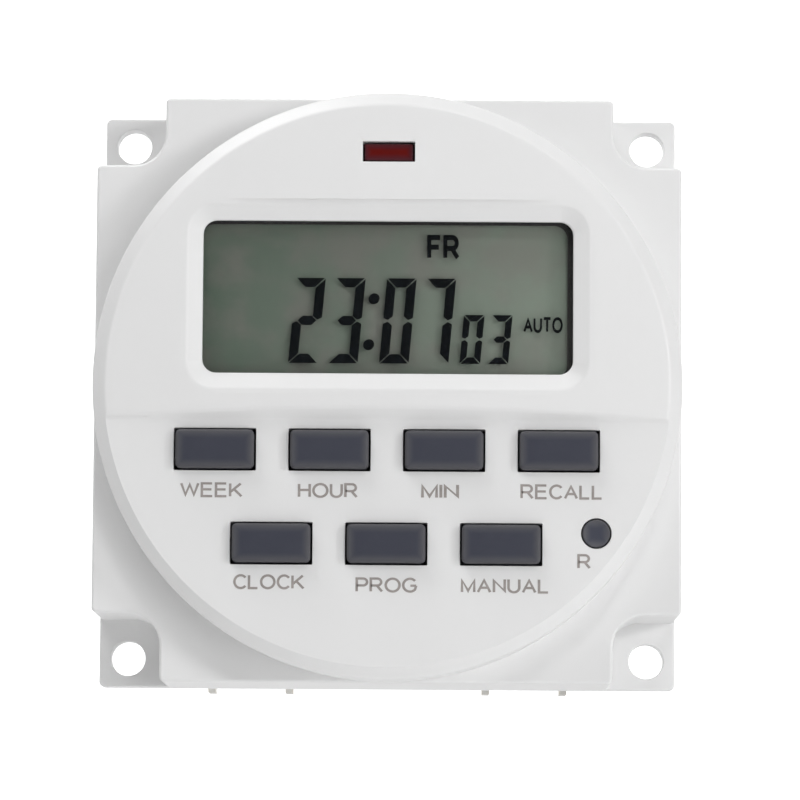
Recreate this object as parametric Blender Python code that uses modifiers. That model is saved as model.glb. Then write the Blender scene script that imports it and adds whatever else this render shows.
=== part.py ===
"""Programmable timer with a round bezel, a liquid crystal display, eight keys and a DIN rail foot.

World axes: X to the right, Z up, and the face looks along -Y. The origin is where the axis of
the round bezel meets the seat that rests on the rail. The case is at negative y, and only the
rail hooks, the latch and the terminals reach past it to positive y.
"""

from math import cos, hypot, pi, radians, sin, sqrt

import bmesh
import bpy
from mathutils import Matrix, Vector

MM = 0.001

# Clearances
GAP = 0.3 * MM  # between pieces that touch or slide
LENS_GAP = 0.2 * MM  # between the stacked window, glass and recess
EDGE_GAP = 0.4 * MM  # round the edge of a board

# Case
BODY_WIDTH = 60.0 * MM  # side of the square body, and nearly the bezel's diameter
TOTAL_DEPTH = 32.0 * MM  # back of the foot to the top of the dome
WALL = 1.6 * MM
CORNER_NOTCH = 7.0 * MM
NOTCH_FILLET = 3.3 * MM
CORNER_RADIUS = 0.5 * MM
EAR_BACK = -7.3 * MM
EAR_THICKNESS = 2.5 * MM
RIM_RECESS = 0.5 * MM  # of the housing's rear rim, ahead of the ears' backs
EAR_HOLE_RADIUS = 1.8 * MM
EAR_HOLE_INSET = 3.0 * MM

# Bezel
BEZEL_INSET = 0.1 * MM
BEZEL_HEIGHT = 6.0 * MM  # base front to the top of the dome
BEZEL_WALL = 1.7 * MM
DOME_HEIGHT = 0.8 * MM
RIM_CHAMFER = 1.35 * MM
RIM_CHAMFER_DEPTH = 1.0 * MM
KEY_FACE_DROP = 0.9 * MM  # top of the dome to the flat face round the keys
FACE_WALL = 1.6 * MM  # behind the flat face
STEP_Z = -3.7 * MM  # foot of the slope between the flat face and the dome
STEP_RUN = 1.2 * MM

# Display
WINDOW_X = 18.76 * MM  # half width of the clear opening
WINDOW_BOTTOM = 1.03 * MM
WINDOW_TOP = 16.6 * MM
WINDOW_CORNER = 1.4 * MM
WINDOW_BEVEL = 1.6 * MM
WINDOW_LAND = 0.4 * MM  # straight wall between the bevel and the lens
LENS_LAP = 0.9 * MM
LENS_THICKNESS = 0.5 * MM
GLASS_LAP = 0.3 * MM  # glass beyond the lens
GLASS_THICKNESS = 1.8 * MM
ZEBRA_WIDTH = 1.6 * MM
ZEBRA_INSET = 0.6 * MM
ZEBRA_END_INSET = 1.5 * MM
FRAME_WALL = 1.2 * MM
BEVEL_DEPTH = 1.1 * MM  # top of the dome to the foot of the bevel

# Indicator
INDICATOR_Z = 23.67 * MM
INDICATOR_SIZE = (5.1 * MM, 1.9 * MM)
INDICATOR_LAP = 0.9 * MM
LED_RADIUS = 1.5 * MM

# Keys
KEY_WIDTH = 7.9 * MM
KEY_LENGTH = 3.9 * MM
KEY_CORNER = 0.5 * MM
KEY_SIDE_GAP = 0.19 * MM
KEY_RISE = 0.9 * MM
KEY_LIP = 0.7 * MM
KEY_TRAVEL = 0.8 * MM
UPPER_ROW_Z = -6.77 * MM
UPPER_PITCH = 11.57 * MM
LOWER_ROW_Z = -16.25 * MM
LOWER_PITCH = 11.58 * MM
RESET_PLACE = (21.15 * MM, -15.07 * MM)
RESET_RADIUS = 1.4 * MM
RESET_SIDE_GAP = 0.14 * MM
RESET_LIP = 0.45 * MM
RESET_RISE = 0.1 * MM
STEM_INSET = 0.7 * MM
RESET_STEM_INSET = 0.3 * MM
LIP_THICKNESS = 1.0 * MM
PILL_THICKNESS = 0.3 * MM
PILL_INSET = 0.3 * MM
WEB_THICKNESS = 0.6 * MM
COLLAR_WALL = 0.6 * MM
RESET_COLLAR_WALL = 0.4 * MM

# Boards
BOARD_THICKNESS = 1.6 * MM
CONTROL_STACK = 4.5 * MM  # inside of the bezel face to the control board
BOARD_BOSS_RADIUS = 2.2 * MM
BOARD_BOSS_INSET = 1.1 * MM  # bore of the bezel to a boss
SIDE_BOSS_Z = -1.0 * MM
POWER_BOARD_FRONT = -6.8 * MM
POWER_SCREW_X = 17.5 * MM
POWER_SCREW_DROP = 2.5 * MM  # top of the power board to its screws
LINK_Z = 18.0 * MM
LINK_PINS = 4
LINK_HEIGHT = 2.5 * MM
PIN_PITCH = 2.54 * MM
PIN_WIDTH = 0.64 * MM

# Components: width along X, height off the board, length along Z
CHIP_SIZE = (10.0 * MM, 1.4 * MM, 10.0 * MM)
RELAY_SIZE = (18.0 * MM, 12.3 * MM, 10.2 * MM)
DROPPER_SIZE = (18.0 * MM, 11.0 * MM, 8.0 * MM)
RECTIFIER_SIZE = (8.0 * MM, 3.2 * MM, 6.4 * MM)
STRAP_WIDTH = 3.0 * MM
STRAP_THICKNESS = 0.5 * MM

# Round components: radius, then height or length
CRYSTAL_SIZE = (1.0 * MM, 6.0 * MM)
BATTERY_SIZE = (5.8 * MM, 5.4 * MM)
SMOOTHING_SIZE = (4.0 * MM, 11.5 * MM)
VARISTOR_SIZE = (4.5 * MM, 4.0 * MM)
RESISTOR_SIZE = (1.7 * MM, 9.0 * MM)
TRANSISTOR_SIZE = (2.3 * MM, 4.6 * MM)

# Foot for a 35 mm top-hat rail
RAIL_WIDTH = 35.0 * MM
RAIL_THICKNESS = 1.0 * MM
RAIL_PLAY = 0.1 * MM
CHANNEL_DEPTH = 3.2 * MM
SEAT_RISE = 0.3 * MM  # of the seat above the rest of the channel
HOOK_LAP = 1.5 * MM
HOOK_INNER_X = 8.0 * MM
HOOK_OUTER_INSET = 2.0 * MM
FOOT_X = 22.2 * MM
SHELF_HEIGHT = 3.4 * MM
FOOT_TOP = 26.0 * MM

# Latch
LATCH_TRAVEL = 2.5 * MM
LATCH_X = 5.0 * MM
LATCH_RIB = 1.3 * MM
LATCH_FRONT = 0.3 * MM
LATCH_THICKNESS = 2.8 * MM
LATCH_GRIP = 2.3 * MM  # of the latch below its block
LATCH_SIDE_WALL = 1.0 * MM  # of the block beside the grooves
LATCH_END_WALL = 0.5 * MM  # of the block below the spring
LUG_SIZE = 0.7 * MM
RIB_THICKNESS = 0.9 * MM
RIB_HEIGHT = 3.3 * MM
RIB_RISE = 2.1 * MM  # of the ribs' top above the shelf's underside
POCKET_HEIGHT = 6.3 * MM
POCKET_RISE = 1.2 * MM  # of the pocket's top above the shelf's underside
SPRING_WIRE = 0.15 * MM
SPRING_RADIUS = 0.8 * MM
SPRING_TURNS = 4.5

# Terminals
BLADE_WIDTH = 6.3 * MM
BLADE_THICKNESS = 0.8 * MM
BLADE_BACK = 1.3 * MM
BLADE_TIP = -30.2 * MM
BLADE_PLACES = (-18.5 * MM, -10.35 * MM, 10.35 * MM, 18.5 * MM)
BLADE_TAPER = 1.4 * MM
PIN_HEIGHT = 1.5 * MM  # of a blade's pin, along Z
PIN_RISE = 1.4 * MM  # of that pin above the floor of the tub
PIN_TIP = 0.6 * MM  # of that pin ahead of the power board
GUARD_BOTTOM = -28.6 * MM
GUARD_THICKNESS = 1.2 * MM
BARRIER_X = 14.4 * MM

# Screws
HEAD_HEIGHT = 1.2 * MM
CASE_SCREW_RADIUS = 1.2 * MM
CASE_HEAD_RADIUS = 2.3 * MM
CASE_SCREW_LENGTH = 9.0 * MM
CASE_SCREW_INSET = 3.8 * MM
CASE_SCREW_DROP = 11.1 * MM
CASE_BOSS_RADIUS = 2.8 * MM
BOARD_SCREW_RADIUS = 0.85 * MM
BOARD_HEAD_RADIUS = 1.7 * MM
BOARD_SCREW_LENGTH = 5.0 * MM
POWER_SCREW_LENGTH = 4.0 * MM

# Places that follow from the sizes above
HALF = BODY_WIDTH / 2
BACK_Y = CHANNEL_DEPTH
FRONT_Y = BACK_Y - TOTAL_DEPTH
BASE_FRONT = FRONT_Y + BEZEL_HEIGHT
BEZEL_RADIUS = HALF - BEZEL_INSET
PLATEAU_RADIUS = BEZEL_RADIUS - RIM_CHAMFER
PLATEAU_Y = FRONT_Y + DOME_HEIGHT
KEY_FACE_Y = FRONT_Y + KEY_FACE_DROP
INNER_FACE = KEY_FACE_Y + FACE_WALL
BEZEL_BORE = BEZEL_RADIUS - BEZEL_WALL
BEVEL_FOOT = FRONT_Y + BEVEL_DEPTH
LENS_RECESS = BEVEL_FOOT + WINDOW_LAND
LENS_FRONT = LENS_RECESS + LENS_GAP
GLASS_FRONT = LENS_FRONT + LENS_THICKNESS + LENS_GAP
GLASS_BACK = GLASS_FRONT + GLASS_THICKNESS
BOARD_FRONT = INNER_FACE + CONTROL_STACK
BOARD_BACK = BOARD_FRONT + BOARD_THICKNESS
POWER_BOARD_BACK = POWER_BOARD_FRONT + BOARD_THICKNESS
RIM_Y = EAR_BACK - RIM_RECESS
COVER_FRONT = RIM_Y + GAP
COVER_PLATE_BACK = COVER_FRONT + WALL
CHANNEL_HALF = RAIL_WIDTH / 2 + RAIL_PLAY
CHANNEL_FLOOR = -SEAT_RISE
TUB_FLOOR = CHANNEL_FLOOR - WALL
SHELF_BOTTOM = -(CHANNEL_HALF + SHELF_HEIGHT)
TUB_BOTTOM = SHELF_BOTTOM + WALL
TUB_TOP = FOOT_TOP - WALL
TUB_X = FOOT_X - WALL
POWER_BOARD_X = TUB_X - EDGE_GAP
POWER_BOARD_TOP = TUB_TOP - EDGE_GAP
LIP_FRONT = RAIL_THICKNESS + GAP
LATCH_BACK = LATCH_FRONT + LATCH_THICKNESS
BLADE_FRONT = BLADE_BACK - BLADE_WIDTH

QUARTERS = ((1, 1), (-1, 1), (-1, -1), (1, -1))  # signs of x and z in each corner of the case

PALETTE = {
    "grey_case": ((0.72, 0.73, 0.72), 0.45, 0.0),
    "dark_silicone": ((0.055, 0.06, 0.075), 0.6, 0.0),
    "clear_plastic": ((0.85, 0.88, 0.87), 0.1, 0.0),
    "red_plastic": ((0.20, 0.012, 0.01), 0.2, 0.0),
    "display_glass": ((0.13, 0.15, 0.12), 0.15, 0.0),
    "dark_frame": ((0.05, 0.05, 0.05), 0.5, 0.0),
    "carbon": ((0.01, 0.01, 0.01), 0.8, 0.0),
    "board_green": ((0.02, 0.12, 0.05), 0.4, 0.0),
    "chip_black": ((0.015, 0.015, 0.015), 0.5, 0.0),
    "bright_metal": ((0.75, 0.75, 0.74), 0.3, 1.0),
    "yellow_film": ((0.55, 0.36, 0.03), 0.35, 0.0),
    "relay_blue": ((0.02, 0.07, 0.25), 0.3, 0.0),
    "sleeve_black": ((0.02, 0.02, 0.03), 0.35, 0.0),
    "ceramic_blue": ((0.03, 0.09, 0.35), 0.4, 0.0),
    "resistor_green": ((0.08, 0.16, 0.06), 0.5, 0.0),
    "battery_green": ((0.03, 0.25, 0.08), 0.4, 0.0),
    "tinned_brass": ((0.72, 0.70, 0.62), 0.35, 1.0),
    "latch_grey": ((0.12, 0.12, 0.125), 0.5, 0.0),
}


# ---------------------------------------------------------------- scene and objects


def clear_scene():
    for item in list(bpy.data.objects):
        bpy.data.objects.remove(item, do_unlink=True)


def new_group(name, hidden=False):
    group = bpy.data.collections.new(name)
    group.hide_render = hidden
    bpy.context.scene.collection.children.link(group)
    return group


def material(name):
    """The palette's material of this name, made the first time that it is asked for."""
    found = bpy.data.materials.get(name)
    if found:
        return found
    colour, roughness, metallic = PALETTE[name]
    made = bpy.data.materials.new(name)
    made.use_nodes = True
    shader = made.node_tree.nodes["Principled BSDF"]
    shader.inputs["Base Color"].default_value = (*colour, 1.0)
    shader.inputs["Roughness"].default_value = roughness
    shader.inputs["Metallic"].default_value = metallic
    return made


def object_of(name, bm):
    """A mesh object, still in no collection, of the closed shape in this bmesh."""
    bmesh.ops.recalc_face_normals(bm, faces=bm.faces)
    mesh = bpy.data.meshes.new(name)
    bm.to_mesh(mesh)
    bm.free()
    mesh.shade_smooth()
    mesh.set_sharp_from_angle(angle=radians(30))
    return bpy.data.objects.new(name, mesh)


def keep(obj, look):
    """Puts a finished piece in the timer's collection with its material."""
    PARTS.objects.link(obj)
    obj.data.materials.clear()
    obj.data.materials.append(material(look))
    return obj


def copy_of(obj, name, look):
    """Another piece with the same mesh."""
    return keep(bpy.data.objects.new(name, obj.data), look)


def put(obj, x, y, z):
    obj.location = (x, y, z)
    return obj


def combine(obj, tool, operation):
    CUTTERS.objects.link(tool)
    tool.hide_render = True
    tool.display_type = "WIRE"
    step = obj.modifiers.new(tool.name, "BOOLEAN")
    step.operation = operation
    step.object = tool
    step.solver = "EXACT"


def cut(obj, *tools):
    for tool in tools:
        combine(obj, tool, "DIFFERENCE")
    return obj


def join(obj, *tools):
    for tool in tools:
        combine(obj, tool, "UNION")
    return obj


def with_flush_faces(obj):
    """Many flush faces meet in this piece, which the exact solver leaves open along some edges."""
    for step in obj.modifiers:
        step.solver = "MANIFOLD"
    return obj


# ---------------------------------------------------------------- shapes


def box(name, x, y, z):
    """A block between two limits on each axis."""
    bm = bmesh.new()
    bmesh.ops.create_cube(bm, size=1)
    for vert in bm.verts:
        vert.co = [limits[side > 0] for limits, side in zip((x, y, z), vert.co)]
    return object_of(name, bm)


def widened(limits, grow):
    """Two limits moved this much outwards."""
    return (limits[0] - grow, limits[1] + grow)


def square_ends(bm, axis, start, end):
    """Puts every vertex exactly on one of two end planes, so that flush faces match to the bit."""
    middle = (start + end) / 2
    for vert in bm.verts:
        vert.co[axis] = min(start, end) if vert.co[axis] < middle else max(start, end)


def rod(name, radius, axis, centre, start, end, sides=24):
    """A cylinder along one axis between two planes. Its centre is a point on its own axis."""
    turns = {"X": Matrix.Rotation(pi / 2, 4, "Y"), "Y": Matrix.Rotation(pi / 2, 4, "X"), "Z": Matrix()}
    bm = bmesh.new()
    bmesh.ops.create_cone(
        bm,
        cap_ends=True,
        segments=sides,
        radius1=radius,
        radius2=radius,
        depth=2 * radius,
        matrix=Matrix.Translation(centre) @ turns[axis],
    )
    index = "XYZ".index(axis)
    for vert in bm.verts:
        vert.co[index] = start if vert.co[index] < centre[index] else end
    return object_of(name, bm)


def along_y(name, radius, x, z, y0, y1, sides=24):
    return rod(name, radius, "Y", (x, 0, z), min(y0, y1), max(y0, y1), sides)


def rounded(corners, radii, steps=4):
    """The outline through these corners, each replaced by an arc. It takes inward corners too."""
    points = []
    count = len(corners)
    for i in range(count):
        corner = Vector(corners[i])
        radius = radii[i]
        back = (Vector(corners[i - 1]) - corner).normalized()
        on = (Vector(corners[(i + 1) % count]) - corner).normalized()
        if radius <= 0:
            points.append(tuple(corner))
            continue
        half_angle = back.angle(on) / 2
        centre = corner + (back + on).normalized() * (radius / sin(half_angle))
        first = corner + back * (radius * cos(half_angle) / sin(half_angle)) - centre
        last = corner + on * (radius * cos(half_angle) / sin(half_angle)) - centre
        for k in range(steps + 1):
            share = k / steps
            sweep = first.angle(last)
            ray = (sin((1 - share) * sweep) * first + sin(share * sweep) * last) / sin(sweep)
            points.append(tuple(centre + ray))
    return points


def rectangle(x, z, radius=0.0, steps=4):
    corners = [(x[0], z[0]), (x[1], z[0]), (x[1], z[1]), (x[0], z[1])]
    return rounded(corners, [radius] * 4, steps)


def circle(radius, sides=24):
    return [(radius * cos(2 * pi * k / sides), radius * sin(2 * pi * k / sides)) for k in range(sides)]


def notched_square(half, notch, corner, fillet):
    """A square with a square notch at each corner, as a plus with short arms."""
    inner = half - notch
    quarter = [((half, -inner), corner), ((half, inner), corner), ((inner, inner), fillet)]
    corners = []
    for turn in range(4):
        c, s = round(cos(turn * pi / 2)), round(sin(turn * pi / 2))
        corners += [((c * u - s * v, s * u + c * v), radius) for (u, v), radius in quarter]
    return rounded([point for point, _ in corners], [radius for _, radius in corners])


def prism(name, outline, axis, start, end):
    """A flat outline made thick along X (outline in y, z) or along Y (outline in x, z)."""
    curve = bpy.data.curves.new(name, "CURVE")
    curve.dimensions = "2D"
    curve.fill_mode = "BOTH"
    curve.extrude = abs(end - start) / 2
    spline = curve.splines.new("POLY")
    spline.points.add(len(outline) - 1)
    for point, (u, v) in zip(spline.points, outline):
        point.co = (u, v, 0, 1)
    spline.use_cyclic_u = True
    guide = bpy.data.objects.new(name, curve)
    bpy.context.scene.collection.objects.link(guide)
    evaluated = guide.evaluated_get(bpy.context.evaluated_depsgraph_get())
    mesh = bpy.data.meshes.new_from_object(evaluated)
    bm = bmesh.new()
    bm.from_mesh(mesh)
    bmesh.ops.remove_doubles(bm, verts=bm.verts, dist=1e-7)
    bmesh.ops.dissolve_limit(bm, angle_limit=radians(0.1), verts=bm.verts, edges=bm.edges)
    bpy.data.objects.remove(guide)
    middle = (start + end) / 2
    if axis == "X":
        lie = Matrix.Translation((middle, 0, 0)) @ Matrix(
            ((0, 0, 1, 0), (1, 0, 0, 0), (0, 1, 0, 0), (0, 0, 0, 1))
        )
    else:
        lie = Matrix.Translation((0, middle, 0)) @ Matrix.Rotation(pi / 2, 4, "X")
    bmesh.ops.transform(bm, matrix=lie, verts=bm.verts)
    square_ends(bm, "XY".index(axis), start, end)
    return object_of(name, bm)


def loft(name, sections):
    """A solid through outlines with equally many points, each a list of (x, y, z)."""
    bm = bmesh.new()
    rings = [[bm.verts.new(point) for point in section] for section in sections]
    for ring, following in zip(rings, rings[1:]):
        for i in range(len(ring)):
            j = (i + 1) % len(ring)
            bm.faces.new((ring[i], ring[j], following[j], following[i]))
    bm.faces.new(rings[0])
    bm.faces.new(rings[-1])
    return object_of(name, bm)


def at(outline, y):
    """The outline in the plane of this y."""
    return [(u, y, v) for u, v in outline]


def profile_mesh(name, profile):
    """The line through these points of (radius, distance forward)."""
    mesh = bpy.data.meshes.new(name)
    edges = [(i, i + 1) for i in range(len(profile) - 1)]
    mesh.from_pydata([(radius, 0, forward) for radius, forward in profile], edges, [])
    return mesh


def spun(name, mesh, steps):
    """A profile's mesh spun about the Y axis, with forward along -Y."""
    obj = bpy.data.objects.new(name, mesh)
    spin = obj.modifiers.new("spin", "SCREW")
    spin.steps = steps
    spin.render_steps = steps
    spin.use_merge_vertices = True
    spin.merge_threshold = 1e-6
    spin.use_smooth_shade = False
    obj.rotation_euler = (pi / 2, 0, 0)
    return obj


def turned(name, profile, steps):
    """A solid of revolution from a profile of (radius, distance forward)."""
    return spun(name, profile_mesh(name, profile), steps)


def dome_y(x, z):
    """The surface of the dome in front of this point."""
    rise = DOME_HEIGHT * (1 - (hypot(x, z) / PLATEAU_RADIUS) ** 2)
    return PLATEAU_Y - rise


# ---------------------------------------------------------------- case


def key_places():
    """Each rectangular key's name and the centre of its hole."""
    upper = ("week", "hour", "minute", "recall")
    lower = ("clock", "program", "manual")
    places = {name: ((i - 1.5) * UPPER_PITCH, UPPER_ROW_Z) for i, name in enumerate(upper)}
    places |= {name: ((i - 1) * LOWER_PITCH, LOWER_ROW_Z) for i, name in enumerate(lower)}
    return places


def case_screw_places():
    x = HALF - CASE_SCREW_INSET
    z = HALF - CASE_SCREW_DROP
    return [(u * x, v * z) for u, v in QUARTERS]


def board_screw_places():
    side = BEZEL_BORE - BOARD_BOSS_RADIUS - BOARD_BOSS_INSET
    return [(-side, SIDE_BOSS_Z), (side, SIDE_BOSS_Z), (0, EDGE_GAP - side)]


def bezel():
    """The round face as one solid block, domed in front and chamfered round its rim."""
    rings = 6
    profile = []
    for k in range(rings + 1):
        radius = PLATEAU_RADIUS * k / rings
        profile.append((radius, -dome_y(radius, 0)))
    profile.append((BEZEL_RADIUS, -PLATEAU_Y - RIM_CHAMFER_DEPTH))
    profile.append((BEZEL_RADIUS, -BASE_FRONT - WALL / 2))
    profile.append((0, -BASE_FRONT - WALL / 2))
    return turned("bezel", profile, 96)


def key_face_cutter():
    """Takes the dome down to a flat face below a sloping step."""
    slope = STEP_RUN / KEY_FACE_DROP
    ahead = 4 * MM
    below = BODY_WIDTH
    outline = [
        (KEY_FACE_Y, STEP_Z),
        (KEY_FACE_Y - ahead, STEP_Z + ahead * slope),
        (KEY_FACE_Y - ahead, -below),
        (KEY_FACE_Y, -below),
    ]
    return prism("key_face", outline, "X", -BODY_WIDTH, BODY_WIDTH)


def window_outline(grow=0.0, radius=WINDOW_CORNER):
    x = WINDOW_X + grow
    return rectangle((-x, x), (WINDOW_BOTTOM - grow, WINDOW_TOP + grow), radius)


def window_cutter():
    """The clear opening, its straight land, and the bevel that meets the dome."""
    inner = window_outline()
    outer = window_outline(WINDOW_BEVEL, WINDOW_CORNER + WINDOW_BEVEL * 0.9)
    on_dome = [(x, dome_y(x, z), z) for x, z in outer]
    sections = [at(inner, INNER_FACE + WALL), at(inner, BEVEL_FOOT), on_dome, at(outer, FRONT_Y - WALL)]
    return loft("window_opening", sections)


def display_recesses():
    """Steps behind the opening, for the lens and then for the larger glass."""
    lens = window_outline(LENS_LAP + LENS_GAP, WINDOW_CORNER)
    glass = window_outline(LENS_LAP + GLASS_LAP + GAP, 0)
    return [
        prism("lens_recess", lens, "Y", LENS_RECESS, INNER_FACE + WALL),
        prism("glass_recess", glass, "Y", GLASS_FRONT - LENS_GAP, INNER_FACE + WALL),
    ]


def face_holes():
    """Holes through the flat face for the keys, and one above the display for the indicator."""
    through = (FRONT_Y - WALL, INNER_FACE + WALL)
    half_width = KEY_WIDTH / 2 + KEY_SIDE_GAP
    half_length = KEY_LENGTH / 2 + KEY_SIDE_GAP
    holes = []
    for name, (x, z) in key_places().items():
        sides = (x - half_width, x + half_width)
        ends = (z - half_length, z + half_length)
        holes.append(box(f"hole_{name}", sides, through, ends))
    radius = RESET_RADIUS + RESET_SIDE_GAP
    holes.append(along_y("hole_reset", radius, *RESET_PLACE, *through))
    width, height = INDICATOR_SIZE
    ends = (INDICATOR_Z - height / 2, INDICATOR_Z + height / 2)
    holes.append(box("hole_indicator", (-width / 2, width / 2), through, ends))
    return holes


def ear_notches():
    """Corner blocks that leave an ear behind each of them."""
    inner = HALF - CORNER_NOTCH
    outer = HALF + WALL
    quarter = [(inner, inner), (outer, inner), (outer, outer), (inner, outer)]
    notches = []
    for i, (u, v) in enumerate(QUARTERS):
        outline = rounded([(u * x, v * z) for x, z in quarter], (NOTCH_FILLET, 0, 0, 0))
        notches.append(prism(f"notch_{i + 1}", outline, "Y", BASE_FRONT - WALL, EAR_BACK - EAR_THICKNESS))
    return notches


def rim_recess():
    """Sets the rear rim below the ears' backs, so that the cover never stands on an ear."""
    outline = notched_square(HALF + WALL, CORNER_NOTCH + WALL, 0, NOTCH_FILLET)
    return prism("rim_recess", outline, "Y", RIM_Y, EAR_BACK + WALL)


def case_outline(inset=0.0):
    notch_fillet = NOTCH_FILLET + inset
    return notched_square(HALF - inset, CORNER_NOTCH, CORNER_RADIUS, notch_fillet)


def front_housing():
    """Square body, round bezel and corner ears in one moulding, open at the back."""
    square = rectangle((-HALF, HALF), (-HALF, HALF), CORNER_RADIUS)
    housing = prism("front_housing", square, "Y", BASE_FRONT, EAR_BACK)
    cut(housing, *ear_notches(), rim_recess())
    join(housing, bezel())
    cut(housing, key_face_cutter())
    inside = case_outline(WALL)
    cut(
        housing,
        prism("body_cavity", inside, "Y", BASE_FRONT + WALL, RIM_Y + WALL),
        along_y("bezel_bore", BEZEL_BORE, 0, 0, INNER_FACE, BASE_FRONT + 2 * WALL, 96),
    )
    for i, (x, z) in enumerate(case_screw_places()):
        boss = along_y(f"case_boss_{i + 1}", CASE_BOSS_RADIUS, x, z, BASE_FRONT + WALL / 2, RIM_Y)
        bore = (RIM_Y - CASE_SCREW_LENGTH, RIM_Y + WALL)
        hole = along_y(f"case_pilot_{i + 1}", CASE_SCREW_RADIUS + GAP, x, z, *bore)
        join(housing, boss)
        cut(housing, hole)
    for i, (x, z) in enumerate(board_screw_places()):
        root = INNER_FACE - WALL / 4
        boss = along_y(f"board_boss_{i + 1}", BOARD_BOSS_RADIUS, x, z, root, BOARD_FRONT - GAP)
        bore = BOARD_SCREW_RADIUS + GAP
        hole = along_y(f"board_pilot_{i + 1}", bore, x, z, INNER_FACE + GAP, BOARD_FRONT + WALL)
        join(housing, boss)
        cut(housing, hole)
    cut(housing, window_cutter(), *display_recesses(), *face_holes())
    place = HALF - EAR_HOLE_INSET
    ends = (EAR_BACK - 2 * EAR_THICKNESS, EAR_BACK + WALL)
    for i, (u, v) in enumerate(QUARTERS):
        cut(housing, along_y(f"ear_hole_{i + 1}", EAR_HOLE_RADIUS, u * place, v * place, *ends))
    return keep(with_flush_faces(housing), "grey_case")


def rear_cover():
    """Plate that closes the housing, with a shallow tub, the rail channel and the terminal guards."""
    plate = case_outline(GAP)
    cover = prism("rear_cover", plate, "Y", COVER_FRONT, COVER_PLATE_BACK)
    overlap = WALL / 2
    foot = (-FOOT_X, FOOT_X)
    seat = CHANNEL_HALF - HOOK_LAP - GAP
    block_x = LATCH_X + GAP + LATCH_RIB + LATCH_SIDE_WALL
    block = (COVER_FRONT + overlap, BACK_Y)
    step = (TUB_FLOOR + overlap, BACK_Y)
    join(
        cover,
        box("tub", foot, (COVER_FRONT, CHANNEL_FLOOR), (SHELF_BOTTOM, FOOT_TOP)),
        box("seat", foot, (TUB_FLOOR + overlap, 0), (-seat, seat)),
        box("lower_shelf", foot, step, (SHELF_BOTTOM, -CHANNEL_HALF)),
        box("upper_rib", foot, step, (CHANNEL_HALF, CHANNEL_HALF + SHELF_HEIGHT)),
        box("latch_block", (-block_x, block_x), block, (latch_block_bottom(), SHELF_BOTTOM + overlap)),
    )
    for side in (-1, 1):
        hook = sorted((side * HOOK_INNER_X, side * (FOOT_X - HOOK_OUTER_INSET)))
        hook_z = (CHANNEL_HALF - HOOK_LAP, CHANNEL_HALF + overlap)
        join(cover, box(f"hook_{side}", hook, (LIP_FRONT, BACK_Y), hook_z))
        for label, x in (("guard", FOOT_X - GUARD_THICKNESS / 2), ("barrier", BARRIER_X)):
            wall = (side * x - GUARD_THICKNESS / 2, side * x + GUARD_THICKNESS / 2)
            join(cover, box(f"{label}_{side}", wall, block, (GUARD_BOTTOM, SHELF_BOTTOM + overlap)))
    tub = box("tub_cavity", (-TUB_X, TUB_X), (COVER_FRONT - WALL, TUB_FLOOR), (TUB_BOTTOM, TUB_TOP))
    cut(cover, tub, *latch_guides())
    tang = (blade_tang()[0] - GAP, blade_tang()[1] + GAP)
    for i, x in enumerate(BLADE_PLACES):
        slot = (x - BLADE_THICKNESS / 2 - GAP, x + BLADE_THICKNESS / 2 + GAP)
        cut(cover, box(f"blade_slot_{i + 1}", slot, tang, (SHELF_BOTTOM - overlap, TUB_BOTTOM + overlap)))
    for i, (x, z) in enumerate(case_screw_places()):
        ends = (COVER_FRONT - overlap, COVER_PLATE_BACK + overlap)
        cut(cover, along_y(f"case_hole_{i + 1}", CASE_SCREW_RADIUS + GAP, x, z, *ends))
    for i, (x, z) in enumerate(power_screw_places()):
        ends = (POWER_BOARD_BACK + GAP, TUB_FLOOR + overlap)
        join(cover, along_y(f"post_{i + 1}", BOARD_BOSS_RADIUS, x, z, *ends))
        ends = (POWER_BOARD_FRONT, TUB_FLOOR + GAP)
        cut(cover, along_y(f"post_pilot_{i + 1}", BOARD_SCREW_RADIUS + GAP, x, z, *ends))
    return keep(with_flush_faces(cover), "grey_case")


def power_screw_places():
    z = POWER_BOARD_TOP - POWER_SCREW_DROP
    return [(-POWER_SCREW_X, z), (POWER_SCREW_X, z)]


# ---------------------------------------------------------------- latch


def latch_rib():
    """Lower and upper end of the ribs that guide the latch."""
    top = SHELF_BOTTOM + RIB_RISE
    return (top - RIB_HEIGHT, top)


def spring_pocket():
    """Lower and upper end of the pocket for the latch spring."""
    top = SHELF_BOTTOM + POCKET_RISE
    return (top - POCKET_HEIGHT, top)


def latch_block_bottom():
    return spring_pocket()[0] - LATCH_END_WALL


def latch_guides():
    """The channel, side grooves and spring pocket that the latch runs in."""
    bottom = latch_block_bottom() - WALL
    low, high = latch_rib()
    channel_x = LATCH_X + GAP
    groove_x = channel_x + LATCH_RIB
    pocket_x = SPRING_RADIUS + SPRING_WIRE + GAP
    channel_front = LATCH_FRONT - GAP
    channel = ((channel_front, BACK_Y + WALL), (bottom, RAIL_PLAY - CHANNEL_HALF))
    groove = ((channel_front, rib_back() + GAP), (low - LATCH_TRAVEL - GAP, high + GAP))
    pocket = ((spring_y() - pocket_x, channel_front + GAP), spring_pocket())
    return [
        box("latch_channel", (-channel_x, channel_x), *channel),
        box("latch_grooves", (-groove_x, groove_x), *groove),
        box("spring_pocket", (-pocket_x, pocket_x), *pocket),
    ]


def rib_back():
    return LATCH_FRONT + RIB_THICKNESS


def spring_y():
    return LATCH_FRONT - GAP - SPRING_RADIUS - SPRING_WIRE


def spring_ends():
    low, high = spring_pocket()
    return (low + GAP, high - GAP - LUG_SIZE - GAP)


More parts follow.
